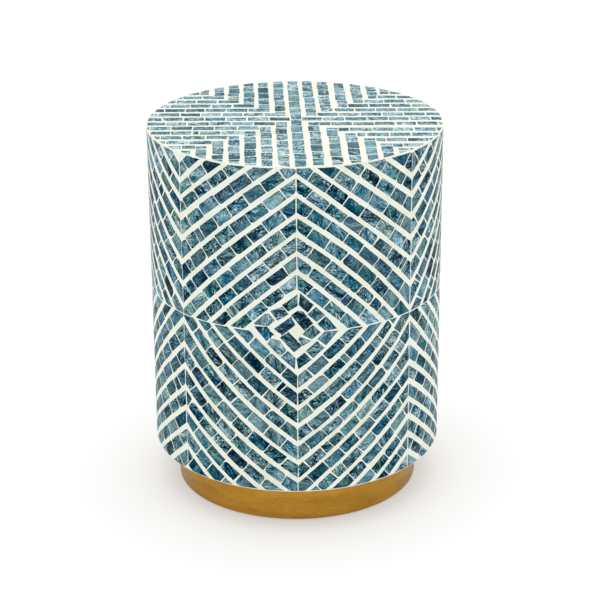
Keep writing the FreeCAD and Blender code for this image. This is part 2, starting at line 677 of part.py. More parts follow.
# ---------------------------------------------------------------- plinth
DISC_R = PLINTH_R - BAND_T
disc_low = tube(0, DISC_R, GLIDE_H, PLINTH_SPLIT_Z)
disc_up = tube(0, DISC_R, PLINTH_SPLIT_Z, DRUM_Z)
band = turned(lines([(DISC_R, GLIDE_H), (PLINTH_R, GLIDE_H), (PLINTH_R, DRUM_Z), (DISC_R, DRUM_Z), (DISC_R, GLIDE_H)]),
              -180.0 + math.degrees(BAND_GAP / 2 / PLINTH_R), 180.0 - math.degrees(BAND_GAP / 2 / PLINTH_R))

big_screw = screw(PLINTH_SCREW_D, PLINTH_SCREW_HEAD_D, PLINTH_SCREW_L)
big_hole = screw_hole(PLINTH_SCREW_D, PLINTH_SCREW_HEAD_D, PLINTH_SCREW_L)
plinth_screws = []
for i in range(4):
    az = 90.0 * i
    s = put(big_screw, PLINTH_SCREW_PCR, az, GLIDE_H + PLINTH_SCREW_L, flip=True)
    h = put(big_hole, PLINTH_SCREW_PCR, az, GLIDE_H + PLINTH_SCREW_L, flip=True)
    disc_low, disc_up = disc_low.cut(h), disc_up.cut(h)
    bottom_board = bottom_board.cut(s)
    plinth_screws.append(s)

dowels = []
for i in range(4):
    for az, z in ((22.5 + 90 * i, DRUM_Z), (67.5 + 90 * i, PLINTH_SPLIT_Z)):
        d = Part.makeCylinder(DOWEL_D / 2, DOWEL_L, spot(DOWEL_PCR, az, z - DOWEL_L / 2))
        d = d.makeChamfer(0.8, [e for e in d.Edges if isinstance(e.Curve, Part.Circle)])
        hole = Part.makeCylinder(DOWEL_D / 2, DOWEL_L, spot(DOWEL_PCR, az, z - DOWEL_L / 2))
        disc_low, disc_up, bottom_board = disc_low.cut(hole), disc_up.cut(hole), bottom_board.cut(hole)
        dowels.append(d)

glide_pad = turned(lines([(0, 0), (GLIDE_R - 0.9, 0), (GLIDE_R, 0.9), (GLIDE_R, GLIDE_T), (0, GLIDE_T), (0, 0)]))
nail = turned(lines([(0, 1.6), (3.0, 1.6), (3.0, 2.6), (1.0, 2.6), (1.0, 17.0), (0, 20.0), (0, 1.6)]))
glides, nails = [], []
for i in range(4):
    az = 45.0 + 90 * i
    n = put(nail, GLIDE_PCR, az, 0)
    disc_low = disc_low.cut(Part.makeCylinder(GLIDE_R + 0.2, GLIDE_T - GLIDE_H, spot(GLIDE_PCR, az, GLIDE_H))).cut(n)
    glides.append(put(glide_pad, GLIDE_PCR, az, 0).cut(n))
    nails.append(n)

PIN_DOME = 0.7
dome_r = ((PIN_HEAD_D / 2) ** 2 + PIN_DOME ** 2) / (2 * PIN_DOME)
dome_c = 0.15 + PIN_DOME - dome_r
dome_a = math.degrees(math.atan2(0.15 - dome_c, PIN_HEAD_D / 2))
pin = turned(lines([(0, -PIN_L), (PIN_D / 2, -PIN_L + 1.5), (PIN_D / 2, 0), (PIN_HEAD_D / 2, 0), (PIN_HEAD_D / 2, 0.15)])
             + [bend((0, dome_c), dome_r, dome_a, 90)]
             + lines([(0, 0.15 + PIN_DOME), (0, -PIN_L)]))
pins = []
for dz in PIN_ZS:
    for side in (-1, 1):
        az = 180.0 + side * 2.2
        p = pin.copy()
        p.rotate(V(0, 0, 0), V(1, 0, 0), 90)          # head faces -Y
        p.rotate(V(0, 0, 0), V(0, 0, 1), az)
        p.translate(spot(PLINTH_R, az, dz))
        drill = Part.makeCylinder(PIN_D / 2, PIN_L + 1, spot(PLINTH_R + 0.5, az, dz), -spot(1.0, az))
        band = band.cut(drill)
        disc_low, disc_up = disc_low.cut(drill), disc_up.cut(drill)
        pins.append(p)

# ---------------------------------------------------------------- inlay: resin with one pocket per tile
resin_top = tube(0, DRUM_R, SEAT_Z1, TOTAL_H)
rim = [e for e in resin_top.Edges if isinstance(e.Curve, Part.Circle) and e.BoundBox.ZMin > TOTAL_H - 0.1]
resin_top = resin_top.makeFillet(RIM_R, rim)
pockets, chips = [], []
for poly, _ in top_tiles():
    base = [V(x, y, TOTAL_H - TOP_TILE_T) for x, y in poly]
    pockets.append(prism(base, V(0, 0, TOP_TILE_T + 1.0)))
    chips.append(prism(base, V(0, 0, TOP_TILE_T)))
nodes["resin_top"] = resin_top.cut(pockets)
nodes["shell_tiles_top"] = Part.makeCompound(chips)


def sleeve(a0, a1, levels):
    """One wall panel of resin; its outer face is drawn in bands that end at the given levels."""
    return turned([bend(EDGE_C, EDGE_R, -90, 0)]
                  + lines([(DRUM_R, EDGE_C[1])] + [(DRUM_R, z) for z in levels]
                          + [(DRUM_R, SEAT_Z1), (CORE_R, SEAT_Z1), (CORE_R, EDGE_C[1])])
                  + [bend(EDGE_C, CORE_EDGE_R, 0, -90)]
                  + lines([(EDGE_C[0], DRUM_Z + INLAY_T), (EDGE_C[0], DRUM_Z)]), a0, a1)


def envelope(a0, a1):
    r0 = 120.0
    return turned([bend(EDGE_C, EDGE_R, -90, 0)]
                  + lines([(DRUM_R, EDGE_C[1]), (DRUM_R, SEAT_Z1), (r0, SEAT_Z1), (r0, DRUM_Z), (EDGE_C[0], DRUM_Z)]), a0, a1)


layout = wall_tiles()
for name, az, half, _ in PANELS:
    half_deg = math.degrees(half / DRUM_R)
    a0, a1 = az - half_deg, az + half_deg
    env = envelope(a0 - 6.0, a1 + 6.0)
    pockets, chips = [], []
    for poly, _ in layout[name]:
        ac = sum(p[0] for p in poly) / len(poly)
        th = math.radians(az) + ac / DRUM_R
        out = V(math.sin(th), -math.cos(th), 0)
        along = V(math.cos(th), math.sin(th), 0)
        base = [out * (DRUM_R - TILE_T) + along * (DRUM_R * math.sin((a - ac) / DRUM_R)) + V(0, 0, z) for a, z in poly]
        block = prism(base, out * (TILE_T + 1.0))
        pockets.append(block)
        chips += block.common(env).Solids
    corners = [p[1] for poly, _ in layout[name] for p in poly]
    levels = [max((z0 + 0.1 * i for i in range(-100, 101)), key=lambda z: min(abs(z - c) for c in corners))
              for z0 in BAND_LEVELS]
    nodes["resin_wall_" + name] = sleeve(a0, a1, levels).cut(pockets)
    nodes["shell_tiles_" + name] = Part.makeCompound(chips)

# ---------------------------------------------------------------- nodes
nodes["seat_board"] = seat_board
nodes["bottom_board"] = bottom_board
nodes.update(rings)
for i, b in enumerate(battens):
    nodes["batten_%d" % (i + 1)] = b
nodes["plinth_disc_upper"] = disc_up
nodes["plinth_disc_lower"] = disc_low
nodes["plinth_band"] = band
nodes["band_pins"] = Part.makeCompound(pins)
nodes["plinth_dowels"] = Part.makeCompound(dowels)
nodes["plinth_screws"] = Part.makeCompound(plinth_screws)
nodes["seat_board_screws"] = Part.makeCompound(seat_screws)
nodes["bottom_board_screws"] = Part.makeCompound(board_screws)
nodes["floor_glides"] = Part.makeCompound(glides)
nodes["glide_nails"] = Part.makeCompound(nails)

os.makedirs("parts", exist_ok=True)
for name in sorted(nodes):
    nodes[name].exportStep("parts/%s.step" % name)
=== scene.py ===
import math
import random

import bpy
from mathutils import Matrix, Vector, noise
from mathutils.geometry import delaunay_2d_cdt


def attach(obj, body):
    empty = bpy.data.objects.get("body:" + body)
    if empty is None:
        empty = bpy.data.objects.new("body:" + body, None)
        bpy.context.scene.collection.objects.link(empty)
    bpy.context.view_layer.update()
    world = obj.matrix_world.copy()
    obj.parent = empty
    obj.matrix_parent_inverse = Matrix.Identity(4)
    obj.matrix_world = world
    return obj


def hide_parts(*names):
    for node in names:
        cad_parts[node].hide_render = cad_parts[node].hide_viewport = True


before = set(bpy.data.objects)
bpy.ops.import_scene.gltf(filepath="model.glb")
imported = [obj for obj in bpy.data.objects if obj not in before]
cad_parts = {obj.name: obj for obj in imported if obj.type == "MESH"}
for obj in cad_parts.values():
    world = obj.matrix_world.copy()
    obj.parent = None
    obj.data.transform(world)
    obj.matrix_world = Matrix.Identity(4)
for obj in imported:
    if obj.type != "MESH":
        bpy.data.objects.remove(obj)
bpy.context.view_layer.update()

MM = 0.001

# ---------------------------------------------------------------- driving dimensions (mm)
DRUM_R = 178.0          # outside radius of the drum, over the inlay
TOTAL_H = 460.0         # floor to seat top
PLINTH_R = 150.0        # outside radius of the brass band
DRUM_Z = 51.0           # floor to the underside of the drum
GLIDE_H = 2.0           # the glides lift the plinth clear of the floor by this much
EDGE_R = 7.0            # round-over of the drum's lower edge
RIM_R = 0.8             # eased upper rim

INLAY_T = 2.2           # resin layer over the wall
TOP_INLAY_T = 1.4       # resin layer over the seat board
BAND_LEVELS = (125.0, 190.0, 255.0, 320.0, 390.0)   # about where the wall resin's outer face would be drawn in bands; nothing reads them
TILE_T = 1.7            # thickness of one shell tile of the wall
TOP_TILE_T = 1.1        # thickness of one shell tile of the top
JOINT = 0.9             # joint between two tiles of one row

SEAT_T = 18.0           # seat board
BOARD_T = 18.0          # bottom board
SKIN_T = 6.0            # bent plywood wall skin
RING_T = 15.0           # frame rings
RING_IN_R = 122.0       # inside radius of the frame rings
RING_MID_Z = 247.0      # underside of the middle ring
BATTEN_N = 8
BATTEN_W = 24.0         # batten, along the wall
BATTEN_D = 38.0         # batten, towards the axis

BAND_T = 0.7            # brass sheet
BAND_GAP = 0.5          # butt seam at the back
PLINTH_SPLIT_Z = 26.5   # glue line between the two plinth discs

SCREW_D, SCREW_HEAD_D, SCREW_L = 4.0, 8.0, 50.0
PLINTH_SCREW_D, PLINTH_SCREW_HEAD_D, PLINTH_SCREW_L = 5.0, 10.0, 60.0
SEAT_SCREW_PCR = 150.0  # pitch circle radius, seat board screws
BOARD_SCREW_PCR = 138.0 # pitch circle radius, bottom board screws
PLINTH_SCREW_PCR = 92.0
DOWEL_D, DOWEL_L, DOWEL_PCR = 8.0, 20.0, 118.0
GLIDE_R, GLIDE_T, GLIDE_PCR = 11.0, 5.0, 126.0
PIN_D, PIN_HEAD_D, PIN_L = 1.2, 3.2, 11.0
PIN_ZS = (10.0, 20.5, 32.5, 43.0)

# ---------------------------------------------------------------- mosaic layout
# Wall: four panels of nested diamonds that meet in upright mitred seams.
# Azimuth 0 faces -Y, and grows towards +X.
FRONT_AZ = 0.3                  # centre line of the front panel, degrees
FRONT_HALF_DEG = 48.68          # half width of the front and back panels
FRONT_HALF = DRUM_R * math.radians(FRONT_HALF_DEG)
SIDE_HALF_DEG = 90.0 - FRONT_HALF_DEG
SIDE_HALF = DRUM_R * math.radians(SIDE_HALF_DEG)
MID_Z = 258.0 + GLIDE_H         # the diamonds' horizontal axis
TILE_TOP_Z = TOTAL_H - TOP_INLAY_T - 0.3
TILE_LOW_Z = DRUM_Z + 3.2       # where the round-over runs the tiles out
GROUT_HALF = (2.6, 3.2)         # half width of a cream line, at the centre and at the seam
CHIP_L = 25.3                   # usual length of one chip

# Height of the k-th cream line above the plinth's lower edge: at the panel's
# centre, half way, and at the seam; upper and lower halves; left and right.
APEX = {
    1: (288.0, 309.5, 333.0, 355.5, 378.5, 401.0, 425.0, 448.0, 471.0, 494.0, 517.0, 540.0, 563.0, 586.0),
    -1: (229.0, 206.0, 183.0, 161.0, 138.0, 114.5, 90.0, 66.0, 42.6, 19.2, -4.2, -27.6, -51.0, -74.4),
}
MIDWAY = {
    ("L", 1): (218.9, 244.1, 267.3, 291.2, 314.4, 338.9, 364.0, 389.9, 415.0, 439.4, 461.5, 486.7, 512.6, 537.2),
    ("R", 1): (217.3, 240.1, 263.8, 290.0, 315.3, 341.3, 364.5, 387.5, 411.0, 435.8, 458.7, 483.1, 509.3, 533.7),
    ("L", -1): (305.5, 279.8, 253.3, 227.0, 202.6, 177.2, 151.2, 125.3, 100.7, 77.1, 51.6, 24.2, -0.4, -25.7),
    ("R", -1): (297.5, 274.6, 249.7, 225.6, 201.3, 176.6, 154.6, 132.8, 109.6, 85.8, 61.7, 37.3, 15.3, -8.3),
}
SEAM = {
    ("L", 1): (138.6, 165.1, 191.2, 215.9, 240.8, 267.3, 295.2, 322.8, 352.4, 378.2, 401.8, 423.0, 447.6, 478.4),
    ("R", 1): (128.3, 155.4, 179.7, 210.1, 229.4, 261.5, 292.7, 323.6, 350.5, 377.1, 403.6, 425.8, 457.2, 484.6),
    ("L", -1): (385.4, 358.5, 332.3, 306.1, 280.6, 250.6, 220.0, 191.9, 163.1, 136.7, 111.8, 84.8, 55.6, 28.1),
    ("R", -1): (369.9, 345.5, 322.0, 297.9, 278.0, 250.1, 220.8, 193.4, 169.5, 145.0, 122.6, 99.1, 74.9, 48.3),
}
# name: (centre azimuth, half width, line tables of its left and right halves)
PANELS = (
    ("front", FRONT_AZ, FRONT_HALF, ("L", "R")),
    ("right", FRONT_AZ + 90.0, SIDE_HALF, ("R", "L")),
    ("back", FRONT_AZ + 180.0, FRONT_HALF, ("L", "R")),
    ("left", FRONT_AZ + 270.0, SIDE_HALF, ("R", "L")),
)
# Centre of the wide panels: five chips in a pinwheel and the ring of twelve round it,
# corners in (arc, height) from the middle of the panel.
CENTRE_GROWN = 0.15             # added all round to these outlines
CENTRE_CHIPS = (
    ((-26.6, 3.5), (-18.2, -4.0), (-2.3, 9.3), (-6.4, 19.4)),
    ((-6.5, 21.5), (8.8, 1.9), (18.2, 10.3), (6.5, 25.5), (0.5, 26.8)),
    ((6.8, -3.5), (16.3, -8.8), (26.9, -0.6), (18.7, 7.9), (10.0, 1.2)),
    ((-19.4, -6.4), (-3.2, -24.6), (5.2, -17.4), (-10.8, 0.4)),
    ((1.0, -9.0), (6.8, -16.8), (16.0, -11.5), (3.0, -6.0)),
    ((-16.9, 33.1), (-10.6, 26.3), (0.3, 33.5), (1.0, 46.5)),
    ((3.1, 48.1), (2.6, 34.4), (12.5, 24.8), (19.0, 32.8)),
    ((12.5, 22.5), (23.1, 12.8), (32.3, 19.4), (21.3, 30.3)),
    ((23.8, 10.0), (33.1, 0.9), (46.5, 1.2), (33.1, 18.1)),
    ((48.1, -0.3), (32.5, -1.0), (24.0, -10.0), (33.1, -17.5)),
    ((23.8, -12.2), (10.0, -24.4), (18.1, -32.5), (31.3, -20.0)),
    ((8.8, -26.2), (-0.5, -34.0), (0.6, -46.2), (16.3, -34.4)),
    ((-11.3, -24.0), (-18.8, -31.2), (-2.5, -46.2), (-2.5, -33.1)),
    ((-30.6, -8.7), (-34.4, -15.0), (-19.4, -30.6), (-13.1, -23.7), (-20.6, -11.2)),
    ((-50.0, 5.7), (-35.4, -11.9), (-27.2, -4.4), (-35.4, 5.4)),
    ((-50.4, 8.6), (-49.2, 7.2), (-34.2, 6.8), (-25.9, 14.7), (-32.3, 22.0), (-36.6, 21.8)),
    ((-30.6, 25.0), (-23.1, 14.8), (-10.0, 23.1), (-16.3, 31.3)),
)
# Where the rows are cut into chips, as arc from the panel's centre line: panel, half (-1 left),
# upper or lower arm, then row number. Rows that are not listed are cut at usual chip lengths.
WALL_JOINTS = {
    ("front", -1, 1): {
        3: (16.5, 37, 55.9),
        4: (12.8, 33.1, 52.7, 72.6, 81.4),
        5: (14.4, 34.8, 54.5, 73.8, 92.3, 111.6),
        6: (15.4, 35.9, 56, 75.8, 94.7, 114.2, 133.1),
        7: (14.9, 35.3, 54.4, 74.2, 93.9, 112.6, 131.2, 141),
        8: (14.5, 34.4, 55.7, 74.8, 93.9, 113.7, 132.6, 139.9),
        9: (16, 36.9, 57.5, 78.8, 97, 117.1, 124.7, 138.5),
        10: (53.3, 74.6, 95.7, 117.2, 137.1),
        11: (82.8, 103.9, 123.6, 143.4),
        12: (111.5, 132.8),
        13: (140.8,),
    },
    ("front", -1, -1): {
        3: (15.9, 35.2, 53.6),
        4: (16.8, 21.9, 41.7, 60.7, 79.7),
        5: (17.8, 37.4, 56.6, 74.8, 93.7, 109.5),
        6: (17.3, 35.6, 55, 74.1, 93.3, 111.6, 130.2),
        7: (16.8, 37.1, 57.3, 77, 96.3, 115.4, 133.9),
        8: (17.2, 37.4, 57.6, 77.2, 97.2, 117, 135.9),
        9: (17.5, 38.1, 59.5, 79.1, 98.8, 118.9, 138.2),
        10: (63.3, 85, 105, 124.3, 145),
        11: (94.1, 113.9, 134.9),
        12: (114.4, 132.1),
    },
    ("front", 1, 1): {
        3: (15, 34.8, 53.3),
        4: (15.5, 34.9, 54.5, 61.8, 78.1),
        5: (15.3, 35.8, 55.4, 74.1, 91.6, 102.7),
        6: (15.1, 35.7, 55.9, 74.8, 93.6, 110.7, 128.2),
        7: (15.6, 36.6, 57, 76.3, 96.3, 115.9, 136.2),
        8: (15, 35.4, 55.9, 75.9, 95.3, 115.3, 134.2, 139.2),
        9: (15.9, 36.6, 57.2, 77.7, 98.5, 119.2, 138.3),
        10: (46.7, 67.4, 88.5, 109.3, 129.4, 136),
        11: (77.4, 98.4, 119.5, 139.3),
        12: (106.6, 126.8, 136.8),
        13: (142.4,),
    },
    ("front", 1, -1): {
        3: (14.5, 33.6, 54.2),
        4: (14.4, 33.6, 53.8, 60.1, 79.3),
        5: (15.4, 35.1, 54.6, 74.2, 93.6, 102.5),
        6: (14.6, 35.2, 55.1, 74.5, 94.4, 113.1, 128.6),
        7: (12.2, 32, 52.2, 70.9, 90.1, 109.3, 129.2, 137.9),
        8: (11.1, 30.4, 39.7, 53, 73.4, 92.9, 113, 132.4),
        9: (14.8, 33.8, 53.1, 72.2, 92.8, 114, 134.1),
        10: (56.2, 76.3, 95.8, 116.4, 137),
        11: (83.1, 104.5, 124, 144.2),
        12: (114.2, 134.5),
        13: (143.6,),
    },
    ("right", -1, 1): {
        4: (55.8,),
        5: (55.9, 72.5, 81.3),
        6: (57.6, 73.4, 91, 108.2),
        7: (56.1, 74.8, 94.1, 109.4, 114.1),
        8: (56.2, 75.2, 94.1, 113),
        9: (57.2, 76.8, 97.2, 112.6),
        10: (60.8, 78.4, 98.5, 119.5),
        11: (67.9, 88, 110.7),
        12: (81.8, 100.1, 112),
        13: (119.9,),
    },
    ("right", -1, -1): {
        4: (56,),
        5: (63.6, 81.3),
        6: (71.2, 90.1, 107.3),
        7: (70.4, 88.8, 108.9),
        8: (72, 91, 110.4),
        9: (72.2, 92.5, 113.3),
        10: (70.1, 89.8, 111.3),
        11: (65.2, 85.4, 104.2, 122.6),
        12: (90.7, 111.6),
        13: (119.8,),
    },
    ("left", 1, 1): {
        4: (61.4,),
        5: (64.7, 83.5),
        6: (70.1, 89, 108),
        7: (57.5, 76, 95.5, 114.9),
        8: (56.8, 75.8, 94.9, 114.1),
        9: (55.7, 75.7, 93.4, 113),
        10: (62.7, 81.8, 91.4, 111.4),
        11: (69.1, 89.2, 110),
        12: (92.5, 112.5),
        13: (113.9,),
    },
    ("left", 1, -1): {
        4: (56.3,),
        5: (62.4, 80.5),
        6: (54.1, 73, 91.8, 102.8),
        7: (59.6, 77.1, 96.7, 115.7),
        8: (59.8, 78.8, 97.9, 115.3),
        9: (66.7, 86.1, 105.8, 115.4),
        10: (54.5, 73, 92.6, 112.2),
        11: (65.6, 86.1, 106.5),
        12: (95.8, 115.7),
    },
}
# Top: a cross of chips with nested L rows in each quarter.
CROSS_X, CROSS_Y = 1.5, 8.5     # the cross stands a little off the disc's centre
CROSS_LEAN, CROSS_TILT = 0.0267, 0.0084
ROW_PITCH = 18.7
ROW_HALF = 6.2
# distance of the nested rows from the cross, (columns, rows) of each quarter: (right, back) signs
EVEN = tuple(ROW_PITCH * m for m in range(1, 11))
QUARTERS = {
    (-1, 1): (EVEN, EVEN),
    (1, 1): ((18.3, 37.2, 58.2, 78.8, 97.8, 114.5, 133.0, 152.0, 171.0), EVEN),
    (-1, -1): (EVEN, EVEN),
    (1, -1): ((20.0, 41.5, 62.5, 82.5, 101.0, 119.7, 138.5, 157.5, 176.5),
              (20.0, 43.5, 64.5, 85.2, 106.0, 124.0, 143.0, 162.0, 181.0)),
}
# Where the rows of the top are cut, as distance from the cross along each row: the cross's upright
# row, its left and right arms, then each quarter's nested rows and columns in turn.
TOP_JOINTS = (
    (-161, -137, -109.8, -83.4, -55.8, -27.8, -3.8, 20.6, 48.2, 74.6, 100.2, 125.4, 151),
    (32.3, 59.1, 84.3, 110.3, 135.5, 161.1),
    (31.5, 58.3, 84.7, 110.7, 136.7, 161.9),
    (37.7, 63.7, 89.7, 115.3, 140.1, 167.3),
    (32.2, 57, 79.8, 106.6, 134.2, 159.4),
    (58, 84.4, 110, 134, 159.2),
    (62.1, 87.3, 113.7, 139.3),
    (76.7, 102.7, 128.3, 153.9),
    (69.2, 93.2, 117.6, 144),
    (95.4, 121, 146.6),
    (97.9, 111.5, 134.7),
    (114.1,),
    (116.2,),
    (118,),
    (),
    (),
    (),
    (),
    (),
    (),
    (),
    (),
    (),
    (26.1, 51.7, 78.1, 104.1, 130.5, 156.9),
    (43.4, 67.8, 92.6, 119.4, 146.6),
    (46.2, 72.2, 97.8, 124.2, 149.4),
    (60.5, 75.3, 100.9, 126.5, 151.3),
    (65.2, 90.8, 117.6, 143.2),
    (79.2, 105.2, 132.4),
    (85.4, 110.6, 137),
    (87.9, 113.1, 137.5),
    (104, 128),
    (118.6,),
    (119.5,),
    (),
    (),
    (),
    (),
    (),
    (),
    (),
    (51.4, 77.4, 104.2, 130.2, 156.6),
    (36.5, 62.9, 87.7, 115.7, 140.9, 166.5),
    (71.3, 98.1, 124.1, 149.7),
    (55.2, 79.6, 106, 132.8, 158.8),
    (90, 116, 124, 149.2),
    (70.7, 95.1, 121.1, 146.7, 173.1),
    (107.9, 135.1, 161.1),
    (82.6, 107.8, 132.6, 158.6, 166.6),
    (127, 154.2),
    (112.9, 139.7, 157.3),
    (135.3,),
    (118.8, 144.8),
    (),
    (),
    (),
    (),
    (),
    (),
    (),
    (),
    (40.7, 66.7, 92.7, 117.9, 143.1, 168.7),
    (26.6, 51.4, 78.6, 103.4, 129.8, 155),
    (61.8, 88.6, 113.8, 138.6, 165),
    (44.5, 71.7, 98.5, 122.9, 148.9, 171.7),
    (80.8, 107.2, 133.6, 158),
    (68.7, 93.1, 119.1, 145.5, 164.3),
    (102, 126.8),
    (89, 115.8, 142.2),
    (120.1,),
    (108.6, 135),
    (),
    (127,),
    (),
    (),
    (),
    (),
    (),
    (),
)
TOP_TILE_R = DRUM_R - 0.9
SEED = 20


def clip(poly, nx, ny, d):
    """The part of a polygon with nx*x + ny*y <= d."""
    out = []
    for i, p in enumerate(poly):
        q = poly[(i + 1) % len(poly)]
        a = nx * p[0] + ny * p[1] - d
        b = nx * q[0] + ny * q[1] - d
        if a <= 0:
            out.append(p)
        if (a < 0 < b) or (b < 0 < a):
            s = a / (a - b)
            out.append((p[0] + s * (q[0] - p[0]), p[1] + s * (q[1] - p[1])))
    return out


def area(poly):
    return 0.5 * sum(p[0] * q[1] - q[0] * p[1] for p, q in zip(poly, poly[1:] + poly[:1]))


def tidy(poly, short=0.7):
    """Drop edges shorter than `short` and corners that lie on a straight line."""
    pts = []
    for p in poly:
        if not pts or math.hypot(p[0] - pts[-1][0], p[1] - pts[-1][1]) > short:
            pts.append(p)
    while len(pts) > 2 and math.hypot(pts[0][0] - pts[-1][0], pts[0][1] - pts[-1][1]) <= short:
        pts.pop()
    out = []
    for i, p in enumerate(pts):
        a, b = pts[i - 1], pts[(i + 1) % len(pts)]
        cross = (p[0] - a[0]) * (b[1] - p[1]) - (p[1] - a[1]) * (b[0] - p[0])
        if abs(cross) > 0.02 * math.hypot(b[0] - a[0], b[1] - a[1]) * 3:
            out.append(p)
    if len(out) > 2 and area(out) < 0:
        out.reverse()
    return out


def big_enough(poly):
    if len(poly) < 3:
        return False
    rim = sum(math.hypot(p[0] - q[0], p[1] - q[1]) for p, q in zip(poly, poly[1:] + poly[:1]))
    return area(poly) > 13.0 and area(poly) / rim > 0.85


def chip_length(rng):
    if rng.random() < 0.85:
        return min(27.5, max(23.0, rng.gauss(CHIP_L, 0.9)))
    return rng.uniform(9.0, 19.0)


def line_z(side, up, k, t):
    """Height of the k-th cream line at t = 0 (centre) .. 1 (seam)."""
    z0, zm, zs = APEX[up][k - 1], MIDWAY[side, up][k - 1], SEAM[side, up][k - 1]
    return GLIDE_H + z0 * (1 - t) * (1 - 2 * t) + zm * 4 * t * (1 - t) + zs * t * (2 * t - 1)


def row_cuts(rng, s_in, s_out, known):
    """Where a row is cut into chips: at its known joints, and beyond them at usual chip lengths."""
    cuts = [s for s in known if s_in + 7.0 < s < s_out - 8.0]
    if not cuts:
        s = s_in
        while True:
            s += chip_length(rng) if cuts else rng.choice((chip_length(rng), rng.uniform(12.0, 25.0)))
            if s > s_out - 5.0:
                break
            cuts.append(s)
    while cuts and cuts[0] - s_in > 30.0:
        cuts.insert(0, max(cuts[0] - chip_length(rng), s_in + 8.0))
    while cuts and s_out - cuts[-1] > 30.0:
        cuts.append(min(cuts[-1] + chip_length(rng), s_out - 8.0))
    full = []
    for s in cuts:
        if full and s - full[-1] > 32.0:
            full.append(0.5 * (full[-1] + s))
        full.append(s)
    return full


def arm_tiles(rng, half, side, up, k, b_end, known=()):
    """Chips of one straight arm of the k-th row: half is -1 (left) or 1 (right), up is 1 or -1."""
    wob = [rng.uniform(-0.4, 0.4), rng.uniform(-0.4, 0.4)]

    def t_of(b):
        return 1.0 - (b_end - b) / FRONT_HALF

    def grout(t):
        t = min(1.0, max(0.0, t))
        return (GROUT_HALF[0] + (GROUT_HALF[1] - GROUT_HALF[0]) * t) * 1.29

    def inner(b):
        return line_z(side, up, k - 1, t_of(b)) + up * (grout(t_of(b)) + wob[0])

    def outer(b):
        return line_z(side, up, k, t_of(b)) - up * (grout(t_of(b)) + wob[1])

    def mid(b):
        return 0.5 * (inner(b) + outer(b))

    # walk along the row's centre line
    step = 0.5
    path, s = [], 0.0
    b = -16.0
    while b < b_end + 16.0:
        path.append((s, b, mid(b)))
        s += math.hypot(step, mid(b + step) - mid(b))
        b += step
    inside = [p for p in path if 0 <= p[1] <= b_end
              and (MID_Z - 2 <= p[2] <= TILE_TOP_Z + 3 if up > 0 else TILE_LOW_Z - 3 <= p[2] <= MID_Z + 2)]
    if not inside:
        return []
    s_in, s_out = inside[0][0], inside[-1][0]
    cuts = row_cuts(rng, s_in, s_out, [min(path, key=lambda p: abs(p[1] - b))[0] for b in known])

    def at(sv):
        j = min(range(len(path)), key=lambda i: abs(path[i][0] - sv))
        j = min(max(j, 1), len(path) - 2)
        m = (path[j + 1][2] - path[j - 1][2]) / (path[j + 1][1] - path[j - 1][1])
        ds = (sv - path[j][0]) / math.hypot(1.0, m)
        return path[j][1] + ds, path[j][2] + m * ds, m

    def cross_line(sv, skew):
        """Where a cut across the row meets its inner and outer edges."""
        b0, z0, m = at(sv)
        ang = math.atan2(up, -up * m) + skew      # across the row, outwards
        dx, dz = math.cos(ang), math.sin(ang)
        pts = []
        for edge, w in ((inner, -6.0), (outer, 6.0)):
            for _ in range(8):
                f = z0 + dz * w - edge(b0 + dx * w)
                g = z0 + dz * (w + 0.1) - edge(b0 + dx * (w + 0.1))
                w -= 0.1 * f / (g - f)
            pts.append((b0 + dx * w, z0 + dz * w))
        return pts

    tiles = []
    skews = [rng.gauss(0.0, 0.045) for _ in cuts]
    for i in range(len(cuts) + 1):
        lo = cross_line(cuts[i - 1] + JOINT / 2, skews[i - 1]) if i else cross_line(s_in - 14.0, 0.0)
        hi = cross_line(cuts[i] - JOINT / 2, skews[i]) if i < len(cuts) else cross_line(s_out + 14.0, 0.0)
        poly = [lo[0], hi[0], hi[1], lo[1]]
        if area(poly) < 0:
            poly.reverse()
        poly = clip(poly, -1, 0, -JOINT / 2)
        poly = clip(poly, 1, 0, b_end - JOINT / 2) if poly else poly
        poly = clip(poly, 0, 1, TILE_TOP_Z) if poly else poly
        poly = clip(poly, 0, -1, -TILE_LOW_Z) if poly else poly
        poly = clip(poly, 0, -up, -(up * MID_Z + JOINT / 2)) if poly else poly
        poly = tidy([(half * p[0], p[1]) for p in poly])
        if big_enough(poly):
            _, _, m = at(0.5 * ((cuts[i - 1] if i else s_in) + (cuts[i] if i < len(cuts) else s_out)))
            tiles.append((poly, math.atan2(m, half)))
    return tiles


def grown(poly, d):
    """An outline that runs counter-clockwise, with every edge moved outwards."""
    out = []
    for i, p in enumerate(poly):
        a, b = poly[i - 1], poly[(i + 1) % len(poly)]
        e, f = (p[0] - a[0], p[1] - a[1]), (b[0] - p[0], b[1] - p[1])
        le, lf = math.hypot(*e), math.hypot(*f)
        nx, ny = (e[1] / le, -e[0] / le), (f[1] / lf, -f[0] / lf)
        k = d / max(0.5, 1.0 + nx[0] * ny[0] + nx[1] * ny[1])
        out.append((p[0] + k * (nx[0] + ny[0]), p[1] + k * (nx[1] + ny[1])))
    return out


def heart_tiles():
    """The chips at the centre of a wide panel, with the row direction of each."""
    tiles = []
    for chip in CENTRE_CHIPS:
        poly = grown(tidy([(a, MID_Z + z) for a, z in chip]), CENTRE_GROWN)
        p, q = max(zip(poly, poly[1:] + poly[:1]), key=lambda e: math.hypot(e[1][0] - e[0][0], e[1][1] - e[0][1]))
        tiles.append((poly, math.atan2(q[1] - p[1], q[0] - p[0])))
    return tiles


